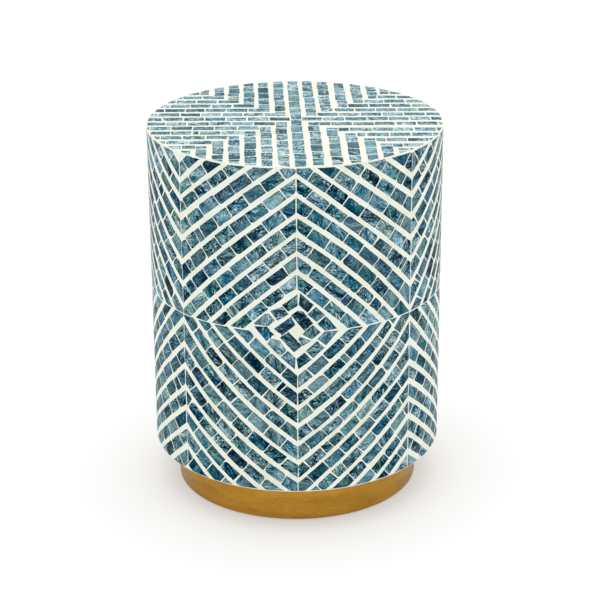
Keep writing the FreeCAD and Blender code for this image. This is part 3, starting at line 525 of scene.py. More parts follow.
def wall_tiles():
    """{panel: [(outline in (arc mm from the panel's centre, height mm), row direction)]}"""
    rng = random.Random(SEED)
    found = {}
    for name, az, b_end, sides in PANELS:
        tiles = []
        wide = b_end > 0.5 * (FRONT_HALF + SIDE_HALF)
        if wide:
            tiles += heart_tiles()
        else:
            t0 = 1.0 - b_end / FRONT_HALF
            top = line_z("L", 1, 1, t0) - GROUT_HALF[0] * 1.29
            low = line_z("L", -1, 1, t0) + GROUT_HALF[0] * 1.29
            mid, reach = 0.5 * (top + low), 0.5 * (top - low)
            lozenge = [(0.0, mid - reach), (1.25 * reach, mid), (0.0, mid + reach), (-1.25 * reach, mid)]
            if big_enough(lozenge):
                tiles.append((lozenge, 0.7))
        for half in (-1, 1):
            side = sides[0 if half < 0 else 1]
            for up in (1, -1):
                for k in range(3 if wide else 2, 15):
                    known = WALL_JOINTS.get((name, half, up), {}).get(k, ())
                    tiles += arm_tiles(rng, half, side, up, k, b_end, known)
        found[name] = tiles
    return found


def top_tiles():
    """[(outline in (x, y) mm, row direction)]"""
    rng = random.Random(SEED + 1)
    tiles = []
    known = iter(TOP_JOINTS)

    def xy(p, q):
        return CROSS_X + p - CROSS_LEAN * q, CROSS_Y + q - CROSS_TILT * p

    def row(lo, hi, start, sign, upright, end=205.0):
        s, wob = start, (rng.uniform(-0.35, 0.35), rng.uniform(-0.35, 0.35))
        first, lean = True, 0.0
        marks = list(next(known))
        while s < end:
            length = marks.pop(0) - s if marks else chip_length(rng)
            skew = max(-0.8, min(0.8, rng.gauss(0.0, 0.35)))
            a, b = s + (0.0 if first else JOINT / 2), s + length - JOINT / 2
            first = False
            s += length
            quad = ((a, lo + wob[0]), (b, lo + wob[0]), (b + skew, hi + wob[1]), (a + lean, hi + wob[1]))
            lean = skew             # both sides of a joint lean alike
            poly = [xy(c, sign * r) if upright else xy(sign * r, c) for r, c in quad]
            if area(poly) < 0:
                poly.reverse()
            if max(math.hypot(*p) for p in poly) > TOP_TILE_R:
                for i in range(144):
                    w = 2 * math.pi * (i + 0.5) / 144
                    poly = clip(poly, math.cos(w), math.sin(w), TOP_TILE_R * math.cos(math.pi / 144))
                    if not poly:
                        break
            poly = tidy(poly)
            if big_enough(poly):
                tiles.append((poly, math.pi / 2 if upright else 0.0))

    row(-ROW_HALF, ROW_HALF, -205.0, 1, True)
    for sx in (-1, 1):
        row(-ROW_HALF, ROW_HALF, ROW_HALF + JOINT, sx, False)
    for sy in (1, -1):
        for sx in (-1, 1):
            for col, across in zip(*QUARTERS[sx, sy]):
                c0, c1 = col - ROW_HALF, col + ROW_HALF
                r0, r1 = across - ROW_HALF, across + ROW_HALF
                # the row across, then the column that runs front to back
                row(min(sy * r0, sy * r1), max(sy * r0, sy * r1), c0 if sy > 0 else c1 + JOINT, sx, False)
                row(min(sx * c0, sx * c1), max(sx * c0, sx * c1), r1 + JOINT if sy > 0 else r0, sy, True)
    return tiles


# ---------------------------------------------------------------- the inlay as meshes
# Wall coordinates: a = arc from the panel's centre, v = height measured along the
# skin (round the lower edge too), h = height above the nominal skin.  All in mm.
RESIN_H = -0.11                         # the resin is sanded a hair lower than the chips
CHIP_H = -0.06
CHIP_BEVEL = 0.17
CHIP_EASE = 0.06                        # drop of the eased arris
EDGE_Z, EDGE_X = DRUM_Z + EDGE_R, DRUM_R - EDGE_R
WALL_LOW = EDGE_Z - EDGE_R * math.pi / 2
WALL_TOP = TOTAL_H - TOP_INLAY_T
# chips are a little wider across their row than their outlines, and shorter or longer at each end
CHIP_WIDER = {"front": 0.34, "back": 0.34, "right": 0.10, "left": 0.10, "top": 0.48}
CHIP_SHORTER = {"front": -0.16, "back": -0.16, "right": 0.06, "left": 0.06, "top": 0.16}
RIM_X = DRUM_R - RIM_R
SHOWN, HIDDEN = 0, 1                    # material slots of every inlay mesh


def developed(z):
    return z if z >= EDGE_Z else EDGE_Z - EDGE_R * math.asin(min(1.0, (EDGE_Z - z) / EDGE_R))


class WallSkin:
    """The drum's wall about one panel."""

    depth = TILE_T

    def __init__(self, az, half):
        self.az, self.half = math.radians(az), half

    def at(self, a, v, h):
        """Place, outward normal, direction along the wall and direction up the wall."""
        th = self.az + a / DRUM_R
        nr, nz = 1.0, 0.0
        if v < EDGE_Z:
            b = (EDGE_Z - v) / EDGE_R
            nr, nz = math.cos(b), -math.sin(b)
            r, z = EDGE_X + (EDGE_R + h) * nr, EDGE_Z + (EDGE_R + h) * nz
        else:
            r, z = DRUM_R + h, v
        s, c = math.sin(th), -math.cos(th)
        return (Vector((r * s, r * c, z)), Vector((nr * s, nr * c, nz)),
                Vector((-c, s, 0.0)), Vector((-nz * s, -nz * c, nr)))

    def bake(self, a, v):
        return (0.005 + 0.99 * (a + self.half) / (2 * self.half), 0.005 + 0.99 * (v - WALL_LOW) / (WALL_TOP - WALL_LOW))


class TopSkin:
    """The flat seat top."""

    depth = TOP_TILE_T

    def at(self, x, y, h):
        return Vector((x, y, TOTAL_H + h)), Vector((0, 0, 1)), Vector((1, 0, 0)), Vector((0, 1, 0))

    def bake(self, x, y):
        return 0.5 + x / 362.0, 0.5 + y / 362.0


class Sheet:
    """Gathers vertices, faces and per-corner data, then makes the object."""

    def __init__(self):
        self.co, self.mark = [], []
        self.faces, self.slots, self.normals, self.chip, self.bake = [], [], [], [], []

    def vert(self, co, mark=(0.5, 0.5, 0.5, 0.0)):
        self.co.append(co * MM)
        self.mark.append(mark)
        return len(self.co) - 1

    def face(self, ids, normals, slot=SHOWN, chip=None, bake=None):
        n = len(ids)
        self.faces.append(tuple(ids))
        self.slots.append(slot)
        self.normals += [tuple(v) for v in normals]
        self.chip += chip or [(0.0, 0.0)] * n
        self.bake += bake or [(0.001, 0.001)] * n

    def make(self, name, materials, slot, *nodes):
        me = bpy.data.meshes.new(name)
        me.from_pydata([tuple(c) for c in self.co], [], self.faces)
        for m in materials:
            me.materials.append(m)
        me.polygons.foreach_set("material_index", self.slots)
        me.polygons.foreach_set("use_smooth", [True] * len(self.faces))
        for layer, data in (("chip", self.chip), ("OFBake", self.bake)):
            uv = me.uv_layers.new(name=layer)
            uv.data.foreach_set("uv", [c for p in data for c in p])
        marks = me.attributes.new("mark", "FLOAT_COLOR", "POINT")
        marks.data.foreach_set("color", [c for m in self.mark for c in m])
        me.update()
        me.normals_split_custom_set(self.normals)
        ob = bpy.data.objects.new(name, me)
        bpy.context.scene.collection.objects.link(ob)
        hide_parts(*nodes)
        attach(ob, "root")
        return ob


def unit(x, y):
    d = math.hypot(x, y) or 1.0
    return x / d, y / d


def chip_outline(poly, rng, step, neat):
    """The outline of one hand-cut chip inside its pocket: edges a little uneven, corners nibbled round."""
    out = poly
    slack = 0.06 if neat else 0.12
    for p, q in zip(poly, poly[1:] + poly[:1]):
        ex, ey = unit(q[0] - p[0], q[1] - p[1])
        pull = [rng.uniform(0.0, slack), rng.uniform(0.0, slack)]
        if rng.random() < 0.34 and not neat:    # cut out of true
            short = math.hypot(q[0] - p[0], q[1] - p[1]) < 15.0
            pull[rng.randrange(2)] += rng.uniform(0.2, 1.5 if short else 0.7)
        a = (p[0] - ey * pull[0], p[1] + ex * pull[0])
        b = (q[0] - ey * pull[1], q[1] + ex * pull[1])
        fx, fy = unit(b[0] - a[0], b[1] - a[1])
        cut = clip(out, fy, -fx, fy * a[0] - fx * a[1])
        if len(cut) > 2 and area(cut) > 0.6 * area(poly):
            out = cut
    trimmed = tidy(out, 0.45)
    out = trimmed if len(trimmed) > 2 else out
    n = len(out)
    corners = []
    for i, p in enumerate(out):
        a, b = out[i - 1], out[(i + 1) % n]
        la, lb = math.hypot(a[0] - p[0], a[1] - p[1]), math.hypot(b[0] - p[0], b[1] - p[1])
        ua, ub = unit(a[0] - p[0], a[1] - p[1]), unit(b[0] - p[0], b[1] - p[1])
        open_angle = math.acos(max(-1.0, min(1.0, ua[0] * ub[0] + ua[1] * ub[1])))
        u = rng.random()
        r = rng.uniform(0.3, 0.9) if u < 0.55 or neat else rng.uniform(1.0, 2.8) if u < 0.84 else rng.uniform(3.0, 6.0)
        if open_angle < 1.2:
            r *= 0.55
        least = 1.1 * CHIP_BEVEL / math.tan(open_angle / 2)
        ca = min(max(least, r * rng.uniform(0.75, 1.3)), 0.45 * la)
        cb = min(max(least, r * rng.uniform(0.75, 1.3)), 0.45 * lb)
        corners.append(((p[0] + ua[0] * ca, p[1] + ua[1] * ca), p, (p[0] + ub[0] * cb, p[1] + ub[1] * cb), max(ca, cb)))
    ring = []
    for i, (start, p, end, size) in enumerate(corners):
        m = 2 + min(4, int(size / 0.7))
        for j in range(m):
            t = j / (m - 1)
            ring.append(tuple((1 - t) ** 2 * start[c] + 2 * t * (1 - t) * p[c] + t * t * end[c] for c in (0, 1)))
        far = corners[(i + 1) % n][0]
        length = math.hypot(far[0] - end[0], far[1] - end[1])
        ux, uy = unit(far[0] - end[0], far[1] - end[1])
        k = max(1, math.ceil(length / step))
        nick = rng.randrange(1, k) if k > 3 and rng.random() < 0.12 else 0
        for j in range(1, k):
            t = length * (j + rng.uniform(-0.2, 0.2)) / k
            w = rng.uniform(0.4, 1.0) if j == nick else rng.uniform(-0.5, 1.5) * slack
            ring.append((end[0] + ux * t - uy * w, end[1] + uy * t + ux * w))
    tight = [ring[0]]
    for p in ring[1:]:
        if math.hypot(p[0] - tight[-1][0], p[1] - tight[-1][1]) > 0.12:
            tight.append(p)
    while math.hypot(tight[0][0] - tight[-1][0], tight[0][1] - tight[-1][1]) < 0.12:
        tight.pop()
    return tight


def laid(poly, direction, shift, turn):
    """A chip as it was laid by hand: a little across its row and a little turned."""
    cx, cy = sum(p[0] for p in poly) / len(poly), sum(p[1] for p in poly) / len(poly)
    dx, dy = -math.sin(direction) * shift, math.cos(direction) * shift
    return [(p[0] + dx - turn * (p[1] - cy), p[1] + dy + turn * (p[0] - cx)) for p in poly]


def widened(poly, direction, d, shorter):
    """An outline with the edges along its row moved outwards and its ends moved in."""
    out = [(0.0, 0.0)] * len(poly)
    for nx, ny, push in ((-math.sin(direction), math.cos(direction), d), (math.cos(direction), math.sin(direction), -shorter)):
        far = [nx * p[0] + ny * p[1] for p in poly]
        mid = 0.5 * (min(far) + max(far))
        for i, f in enumerate(far):
            t = push * max(-1.0, min(1.0, (f - mid) / 3.0))
            out[i] = (out[i][0] + nx * t, out[i][1] + ny * t)
    return [(p[0] + m[0], p[1] + m[1]) for p, m in zip(poly, out)]


def at_seam(poly, half, rng):
    """A chip that ends at an upright seam, run up to it by eye."""
    if min(a for a, _ in poly) * max(a for a, _ in poly) <= 0:
        return poly
    outer, inner = half - rng.uniform(0.10, 0.32), rng.uniform(0.20, 0.55)
    if rng.random() < 0.35:
        outer -= rng.uniform(0.1, 0.8)
    out = []
    for a, v in poly:
        if abs(a) > half - 0.8:
            a = math.copysign(min(half - 0.10, outer + rng.uniform(-0.12, 0.12)), a)
        elif abs(a) < 0.8:
            a = math.copysign(inner + rng.uniform(-0.1, 0.1), a)
        out.append((a, v))
    return out


def apart(one, two):
    """Least distance between two outlines; none if one reaches into the other."""
    if any(inside(two, *p) for p in one) or any(inside(one, *p) for p in two):
        return 0.0
    best = 1e9
    for pts, ring in ((one, two), (two, one)):
        for a, b in zip(ring, ring[1:] + ring[:1]):
            dx, dy = b[0] - a[0], b[1] - a[1]
            for p in pts:
                t = max(0.0, min(1.0, ((p[0] - a[0]) * dx + (p[1] - a[1]) * dy) / (dx * dx + dy * dy)))
                best = min(best, math.hypot(p[0] - a[0] - t * dx, p[1] - a[1] - t * dy))
    return best


class Bed:
    """The outlines of one face's chips, kept clear of each other while they are laid."""

    def __init__(self, polys):
        self.polys = [list(p) for p in polys]
        self.boxes = [self.box(p) for p in self.polys]

    def box(self, poly):
        return min(p[0] for p in poly), max(p[0] for p in poly), min(p[1] for p in poly), max(p[1] for p in poly)

    def clear(self, i, poly, least):
        x0, x1, y0, y1 = self.box(poly)
        return all(j == i or x0 > b[1] + least or b[0] > x1 + least or y0 > b[3] + least or b[2] > y1 + least
                   or apart(poly, self.polys[j]) > least for j, b in enumerate(self.boxes))

    def lay(self, i, direction, rng, loose, growth, shorter):
        """The i-th outline as laid, a little widened."""
        shift = max(-0.7, min(0.7, rng.gauss(0.0, 0.38)))
        turn = max(-0.02, min(0.02, rng.gauss(0.0, 0.011)))
        shorter += 0.09 * math.sin(12.99 * i)
        tries = ((1.0, 1.0), (0.5, 1.0), (0.0, 1.0)) if loose else ((0.0, 1.0), (0.0, 0.6), (0.0, 0.3))
        for part, fuller in tries:
            poly = widened(laid(self.polys[i], direction, part * shift, part * turn), direction,
                           fuller * growth, shorter if loose else 0.0)
            if self.clear(i, poly, 0.26):
                self.polys[i], self.boxes[i] = poly, self.box(poly)
                break
        return self.polys[i]


def outward(ring):
    """Outward direction and mitre factor at each corner of a ring that runs counter-clockwise."""
    out = []
    for i, p in enumerate(ring):
        a, b = ring[i - 1], ring[(i + 1) % len(ring)]
        e, f = unit(p[0] - a[0], p[1] - a[1]), unit(b[0] - p[0], b[1] - p[1])
        mx, my = unit(e[1] + f[1], -e[0] - f[0])
        out.append((mx, my, 1.0 / max(0.4, mx * e[1] - my * e[0])))
    return out


def inside(ring, x, y):
    hit = False
    for p, q in zip(ring, ring[1:] + ring[:1]):
        if (p[1] > y) != (q[1] > y) and x < p[0] + (y - p[1]) * (q[0] - p[0]) / (q[1] - p[1]):
            hit = not hit
    return hit


def triangles(points, rings):
    """Delaunay triangles of the points; each with the numbers of the rings that it lies in. None if rings cross."""
    loops, n = [], 0
    for r in rings:
        loops.append(list(range(n, n + r)))
        n += r
    vs, _, fs, ov, _, of = delaunay_2d_cdt([Vector(p) for p in points], [], loops, 0, 1e-7)
    if len(vs) != len(points) or any(len(o) != 1 for o in ov):
        return None
    back = [o[0] for o in ov]
    return [([back[i] for i in f], o) for f, o in zip(fs, of)]


def add_chip(sheet, skin, poly, direction, rng, step, neat=False, growth=None):
    """One shell chip: a closed solid with a rounded arris; returns its outline."""
    ring = chip_outline(poly, rng, step, neat)
    waver = 0.7 if growth is None else 0.4
    growth = direction if growth is None else growth
    for bevel in (CHIP_BEVEL, 0.1, 0.04):
        inner = [(p[0] - m[0] * m[2] * bevel, p[1] - m[1] * m[2] * bevel) for p, m in zip(ring, outward(ring))]
        cx, cy = sum(p[0] for p in ring) / len(ring), sum(p[1] for p in ring) / len(ring)
        c, s = math.cos(direction), math.sin(direction)
        grid = []
        for p, m in zip(ring[::2], outward(ring)[::2]):
            x, y = p[0] - m[0] * m[2] * 1.4, p[1] - m[1] * m[2] * 1.4
            if inside(inner, x, y) and min(math.hypot(x - p[0], y - p[1]) for p in inner) > 0.7 and all(
                    math.hypot(x - p[0], y - p[1]) > 1.0 for p in grid):
                grid.append((x, y))
        for i in range(-5, 6):
            for j in range(-3, 4):
                x, y = cx + 3.7 * (i * c - j * s), cy + 3.7 * (i * s + j * c)
                if inside(inner, x, y) and min(math.hypot(x - p[0], y - p[1]) for p in inner + grid) > 1.6:
                    grid.append((x, y))
        tris = triangles(inner + grid, [len(inner)]) if area(inner) > 0 else None
        if tris:
            break
    floor = triangles(ring, [len(ring)])
    if not tris or not floor:
        return None
    mark = (min(1.0, max(0.0, rng.gauss(0.5, 0.2))), min(1.0, max(0.0, rng.gauss(0.5, 0.22))), rng.random())
    lift = CHIP_H + rng.uniform(-0.02, 0.02)
    tx, ty = (max(-0.003, min(0.003, rng.gauss(0.0, 0.0016))) for _ in range(2))
    lift = min(lift, -0.005 - max(tx * (p[0] - cx) + ty * (p[1] - cy) for p in ring))
    turn = growth + rng.choice((0.0, math.pi)) + rng.gauss(0.0, waver)
    ox, oy = rng.uniform(0, 40), rng.uniform(0, 40)
    tc, ts = math.cos(turn), math.sin(turn)
    drawn = math.exp(max(-0.6, min(0.6, rng.gauss(0.0, 0.28))))     # how far the figure is drawn out

    def chip_uv(p):
        x, y = p[0] - cx, p[1] - cy
        return (ox + 0.1 * (x * tc + y * ts) / drawn, oy + 0.1 * (y * tc - x * ts) * drawn)

    def top_normal(p):
        _, n, along, up = skin.at(p[0], p[1], 0.0)
        return (n - along * tx - up * ty).normalized()

    def height(p):
        return lift + tx * (p[0] - cx) + ty * (p[1] - cy)

    pts = inner + grid
    # the mark's fourth value is 1 on the chip's edge rings; the shell material paints shade there
    top = [sheet.vert(skin.at(*p, height(p))[0], (*mark, 1.0 if i < len(inner) else 0.0)) for i, p in enumerate(pts)]
    shoulder = [sheet.vert(skin.at(*p, height(p) - CHIP_EASE)[0], (*mark, 1.0)) for p in ring]
    foot = [sheet.vert(skin.at(*p, -skin.depth)[0], (*mark, 1.0)) for p in ring]
    side = []
    for p, m in zip(ring, outward(ring)):
        _, n, along, up = skin.at(*p, 0.0)
        side.append(along * m[0] + up * m[1])
    flat = [top_normal(p) for p in pts]
    for f, o in tris:
        if o:
            sheet.face([top[i] for i in f], [flat[i] for i in f], SHOWN,
                       [chip_uv(pts[i]) for i in f], [skin.bake(*pts[i]) for i in f])
    n = len(ring)
    for i in range(n):
        j = (i + 1) % n
        sheet.face([shoulder[i], shoulder[j], top[j], top[i]],
                   [(side[i] + flat[i] * 1.6).normalized(), (side[j] + flat[j] * 1.6).normalized(), flat[j], flat[i]], SHOWN,
                   [chip_uv(p) for p in (ring[i], ring[j], inner[j], inner[i])],
                   [skin.bake(*p) for p in (ring[i], ring[j], inner[j], inner[i])])
        sheet.face([foot[i], foot[j], shoulder[j], shoulder[i]], [side[i], side[j], side[j], side[i]], HIDDEN)
    for f, o in floor:
        if o:
            sheet.face([foot[i] for i in reversed(f)], [-flat[0]] * 3, HIDDEN)
    return ring


def add_pockets(sheet, skin, rings, ids):
    """Walls and floors of the pockets that the chips lie in; ids are the rings' vertices on the resin's surface."""
    deep = -skin.depth - 0.02
    for ring, rim in zip(rings, ids):
        low = [sheet.vert(skin.at(*p, deep)[0]) for p in ring]
        side = []
        for p, m in zip(ring, outward(ring)):
            _, n, along, up = skin.at(*p, 0.0)
            side.append(-(along * m[0] + up * m[1]))
        for i in range(len(ring)):
            j = (i + 1) % len(ring)
            sheet.face([rim[i], rim[j], low[j], low[i]], [side[i], side[j], side[j], side[i]], HIDDEN)
        for f, o in triangles(ring, [len(ring)]):
            if o:
                sheet.face([low[i] for i in f], [skin.at(*ring[i], 0.0)[1] for i in f], HIDDEN)


def clear_of(rings, points, gap):
    """The points that are outside every ring by a gap, near enough."""
    boxes = [(min(p[0] for p in r) - gap, max(p[0] for p in r) + gap,
              min(p[1] for p in r) - gap, max(p[1] for p in r) + gap, r) for r in rings]
    kept = []
    for x, y in points:
        for x0, x1, y0, y1, r in boxes:
            if x0 < x < x1 and y0 < y < y1 and (inside(r, x, y) or any(
                    math.hypot(x - p[0], y - p[1]) < gap for p in r)):
                break
        else:
            kept.append((x, y))
    return kept


def wall_resin(sheet, skin, rings):
    """A closed slab of resin with one pocket per chip."""
    half = skin.half
    n_a = math.ceil(2 * half / 3.5)
    xs = [-half + 2 * half * i / n_a for i in range(n_a + 1)]
    n_low = 12
    vs = [WALL_LOW + (EDGE_Z - WALL_LOW) * i / n_low for i in range(n_low)]
    n_up = 66
    vs += [EDGE_Z + (WALL_TOP - EDGE_Z) * i / n_up for i in range(n_up + 1)]
    border = ([(x, WALL_LOW) for x in xs] + [(half, v) for v in vs[1:]]
              + [(x, WALL_TOP) for x in reversed(xs[:-1])] + [(-half, v) for v in reversed(vs[1:-1])])
    grid = clear_of(rings, [(x, v) for x in xs[1:-1] for v in vs[1:-1]], 1.1)
    flat = [p for r in rings for p in r]
    pts = flat + border + grid
    tris = triangles(pts, [len(r) for r in rings])
    ids = [sheet.vert(skin.at(*p, RESIN_H)[0]) for p in pts]
    up = [skin.at(*p, 0.0)[1] for p in pts]
    for f, o in tris:
        if not o:
            sheet.face([ids[i] for i in f], [up[i] for i in f], SHOWN, None, [skin.bake(*pts[i]) for i in f])
    at, groups = 0, []
    for r in rings:
        groups.append(ids[at:at + len(r)])
        at += len(r)
    add_pockets(sheet, skin, rings, groups)
    # edges and back of the slab
    edge = ids[len(flat):len(flat) + len(border)]
    inner = border + [(x, v) for x in xs[2:-2:2] for v in vs[1:-1:2]]
    back = [sheet.vert(skin.at(*p, -INLAY_T)[0]) for p in inner]
    nrm = [-skin.at(*p, 0.0)[1] for p in inner]
    for f, _ in triangles(inner, []):
        sheet.face([back[i] for i in reversed(f)], [nrm[i] for i in reversed(f)], HIDDEN)
    m = len(border)
    for i in range(m):
        j = (i + 1) % m
        p, q = border[i], border[j]
        _, _, along, rise = skin.at(0.5 * (p[0] + q[0]), 0.5 * (p[1] + q[1]), 0.0)
        ox, oy = unit(q[1] - p[1], p[0] - q[0])
        n = along * ox + rise * oy
        sheet.face([back[i], back[j], edge[j], edge[i]], [n] * 4, HIDDEN)


def top_resin(sheet, skin, rings):
    """A closed disc of resin with an eased rim and one pocket per chip."""
    n = 256
    circle = [(math.cos(2 * math.pi * i / n), math.sin(2 * math.pi * i / n)) for i in range(n)]
    border = [(RIM_X * c, RIM_X * s) for c, s in circle]
    near = [(x * 7.0, y * 7.0) for x in range(-26, 27) for y in range(-26, 27) if math.hypot(x, y) * 7.0 < RIM_X - 3.0]
    grid = clear_of(rings, near, 1.1)
    flat = [p for r in rings for p in r]
    pts = flat + border + grid
    tris = triangles(pts, [len(r) for r in rings])
    ids = [sheet.vert(skin.at(*p, RESIN_H)[0]) for p in pts]
    z = Vector((0, 0, 1))
    for f, o in tris:
        if not o:
            sheet.face([ids[i] for i in f], [z] * 3, SHOWN, None, [skin.bake(*pts[i]) for i in f])
    at, groups = 0, []
    for r in rings:
        groups.append(ids[at:at + len(r)])
        at += len(r)
    add_pockets(sheet, skin, rings, groups)
    # eased rim, then straight down to the seat board
    rim_r = RIM_R + RESIN_H
    loops = [(RIM_X, TOTAL_H + RESIN_H, 0.0, RIM_X)]
    for i in range(1, 7):
        b = 0.5 * math.pi * i / 6
        loops.append((RIM_X + rim_r * math.sin(b), TOTAL_H - RIM_R + rim_r * math.cos(b), b, RIM_X + rim_r * b))
    loops.append((RIM_X + rim_r, WALL_TOP, 0.5 * math.pi, RIM_X + rim_r * 0.5 * math.pi + 1.4))
    last = ids[len(flat):len(flat) + n]
    for (r0, z0, b0, u0), (r1, z1, b1, u1) in zip(loops, loops[1:]):
        ring = [sheet.vert(Vector((r1 * c, r1 * s, z1))) for c, s in circle]
        for i in range(n):
            j = (i + 1) % n
            (c0, s0), (c1, s1) = circle[i], circle[j]
            nr = [Vector((c * math.sin(b), s * math.sin(b), math.cos(b))) for c, s, b in
                  ((c0, s0, b1), (c1, s1, b1), (c1, s1, b0), (c0, s0, b0))]
            sheet.face([ring[i], ring[j], last[j], last[i]], nr, SHOWN, None,
                       [skin.bake(u1 * c0, u1 * s0), skin.bake(u1 * c1, u1 * s1),
                        skin.bake(u0 * c1, u0 * s1), skin.bake(u0 * c0, u0 * s0)])
        last = ring
    hub = sheet.vert(Vector((0, 0, WALL_TOP)))
    for i in range(n):
        sheet.face([last[(i + 1) % n], last[i], hub], [-z] * 3, HIDDEN)


# ---------------------------------------------------------------- materials
class Graph:
    """A material built from nodes, round one Principled shader."""

    def __init__(self, name):
        self.mat = bpy.data.materials.new(name)
        self.mat.use_nodes = True
        self.tree = self.mat.node_tree
        self.tree.nodes.clear()
        self.out = self.tree.nodes.new("ShaderNodeOutputMaterial")
        self.bsdf = self.tree.nodes.new("ShaderNodeBsdfPrincipled")
        self.tree.links.new(self.bsdf.outputs[0], self.out.inputs["Surface"])

    def put(self, socket, value):
        if isinstance(value, bpy.types.NodeSocket):
            self.tree.links.new(value, socket)
        else:
            socket.default_value = value

    def set(self, **values):
        for name, value in values.items():
            self.put(self.bsdf.inputs[name.replace("_", " ")], value)

    def node(self, kind, out=0, props=None, **inputs):
        n = self.tree.nodes.new(kind)
        for k, v in (props or {}).items():
            setattr(n, k, v)
        for k, v in inputs.items():
            self.put(n.inputs[k.replace("_", " ")], v)
        return n.outputs[out]

    def math(self, op, a, b=0.0, c=0.0, clamp=False):
        n = self.tree.nodes.new("ShaderNodeMath")
        n.operation, n.use_clamp = op, clamp
        for s, v in zip(n.inputs, (a, b, c)):
            self.put(s, v)
        return n.outputs[0]

    def mix(self, fac, a, b, blend="MIX"):
        n = self.tree.nodes.new("ShaderNodeMix")
        n.data_type, n.blend_type = "RGBA", blend
        self.put(n.inputs[0], fac)
        self.put(n.inputs[6], a)
        self.put(n.inputs[7], b)
        return n.outputs[2]

    def ramp(self, fac, stops, ease="LINEAR"):
        n = self.tree.nodes.new("ShaderNodeValToRGB")
        n.color_ramp.interpolation = ease
        e = n.color_ramp.elements
        while len(e) < len(stops):
            e.new(0.5)
        for el, (pos, col) in zip(e, stops):
            el.position = pos
            el.color = (*col, 1.0) if isinstance(col, tuple) else (col, col, col, 1.0)
        self.put(n.inputs[0], fac)
        return n.outputs[0]

    def scaled(self, vec, x, y, z=1.0):
        n = self.tree.nodes.new("ShaderNodeVectorMath")
        n.operation = "MULTIPLY"
        self.put(n.inputs[0], vec)
        n.inputs[1].default_value = (x, y, z)
        return n.outputs[0]

    def noise(self, vec, scale, detail=2.0, rough=0.5, distort=0.0):
        return self.node("ShaderNodeTexNoise", Vector=vec, Scale=scale, Detail=detail, Roughness=rough, Distortion=distort)

    def spread(self, fac, sigma):
        """A noise value as a number of standard deviations from its middle."""
        return self.math("MULTIPLY", self.math("SUBTRACT", fac, 0.5), 1.0 / sigma)

    def bump(self, height, strength, distance):
        self.put(self.bsdf.inputs["Normal"],
                 self.node("ShaderNodeBump", Height=height, Strength=strength, Distance=distance))


def rgb(r, g, b):
    """Linear colour of an sRGB one given in 0..255."""
    def lin(c):
        c /= 255.0
        return c / 12.92 if c <= 0.04045 else ((c + 0.055) / 1.055) ** 2.4
    return lin(r), lin(g), lin(b)


NACRE_POS = (0.045, 0.197, 0.334, 0.413, 0.5, 0.587, 0.666, 0.803, 0.955)


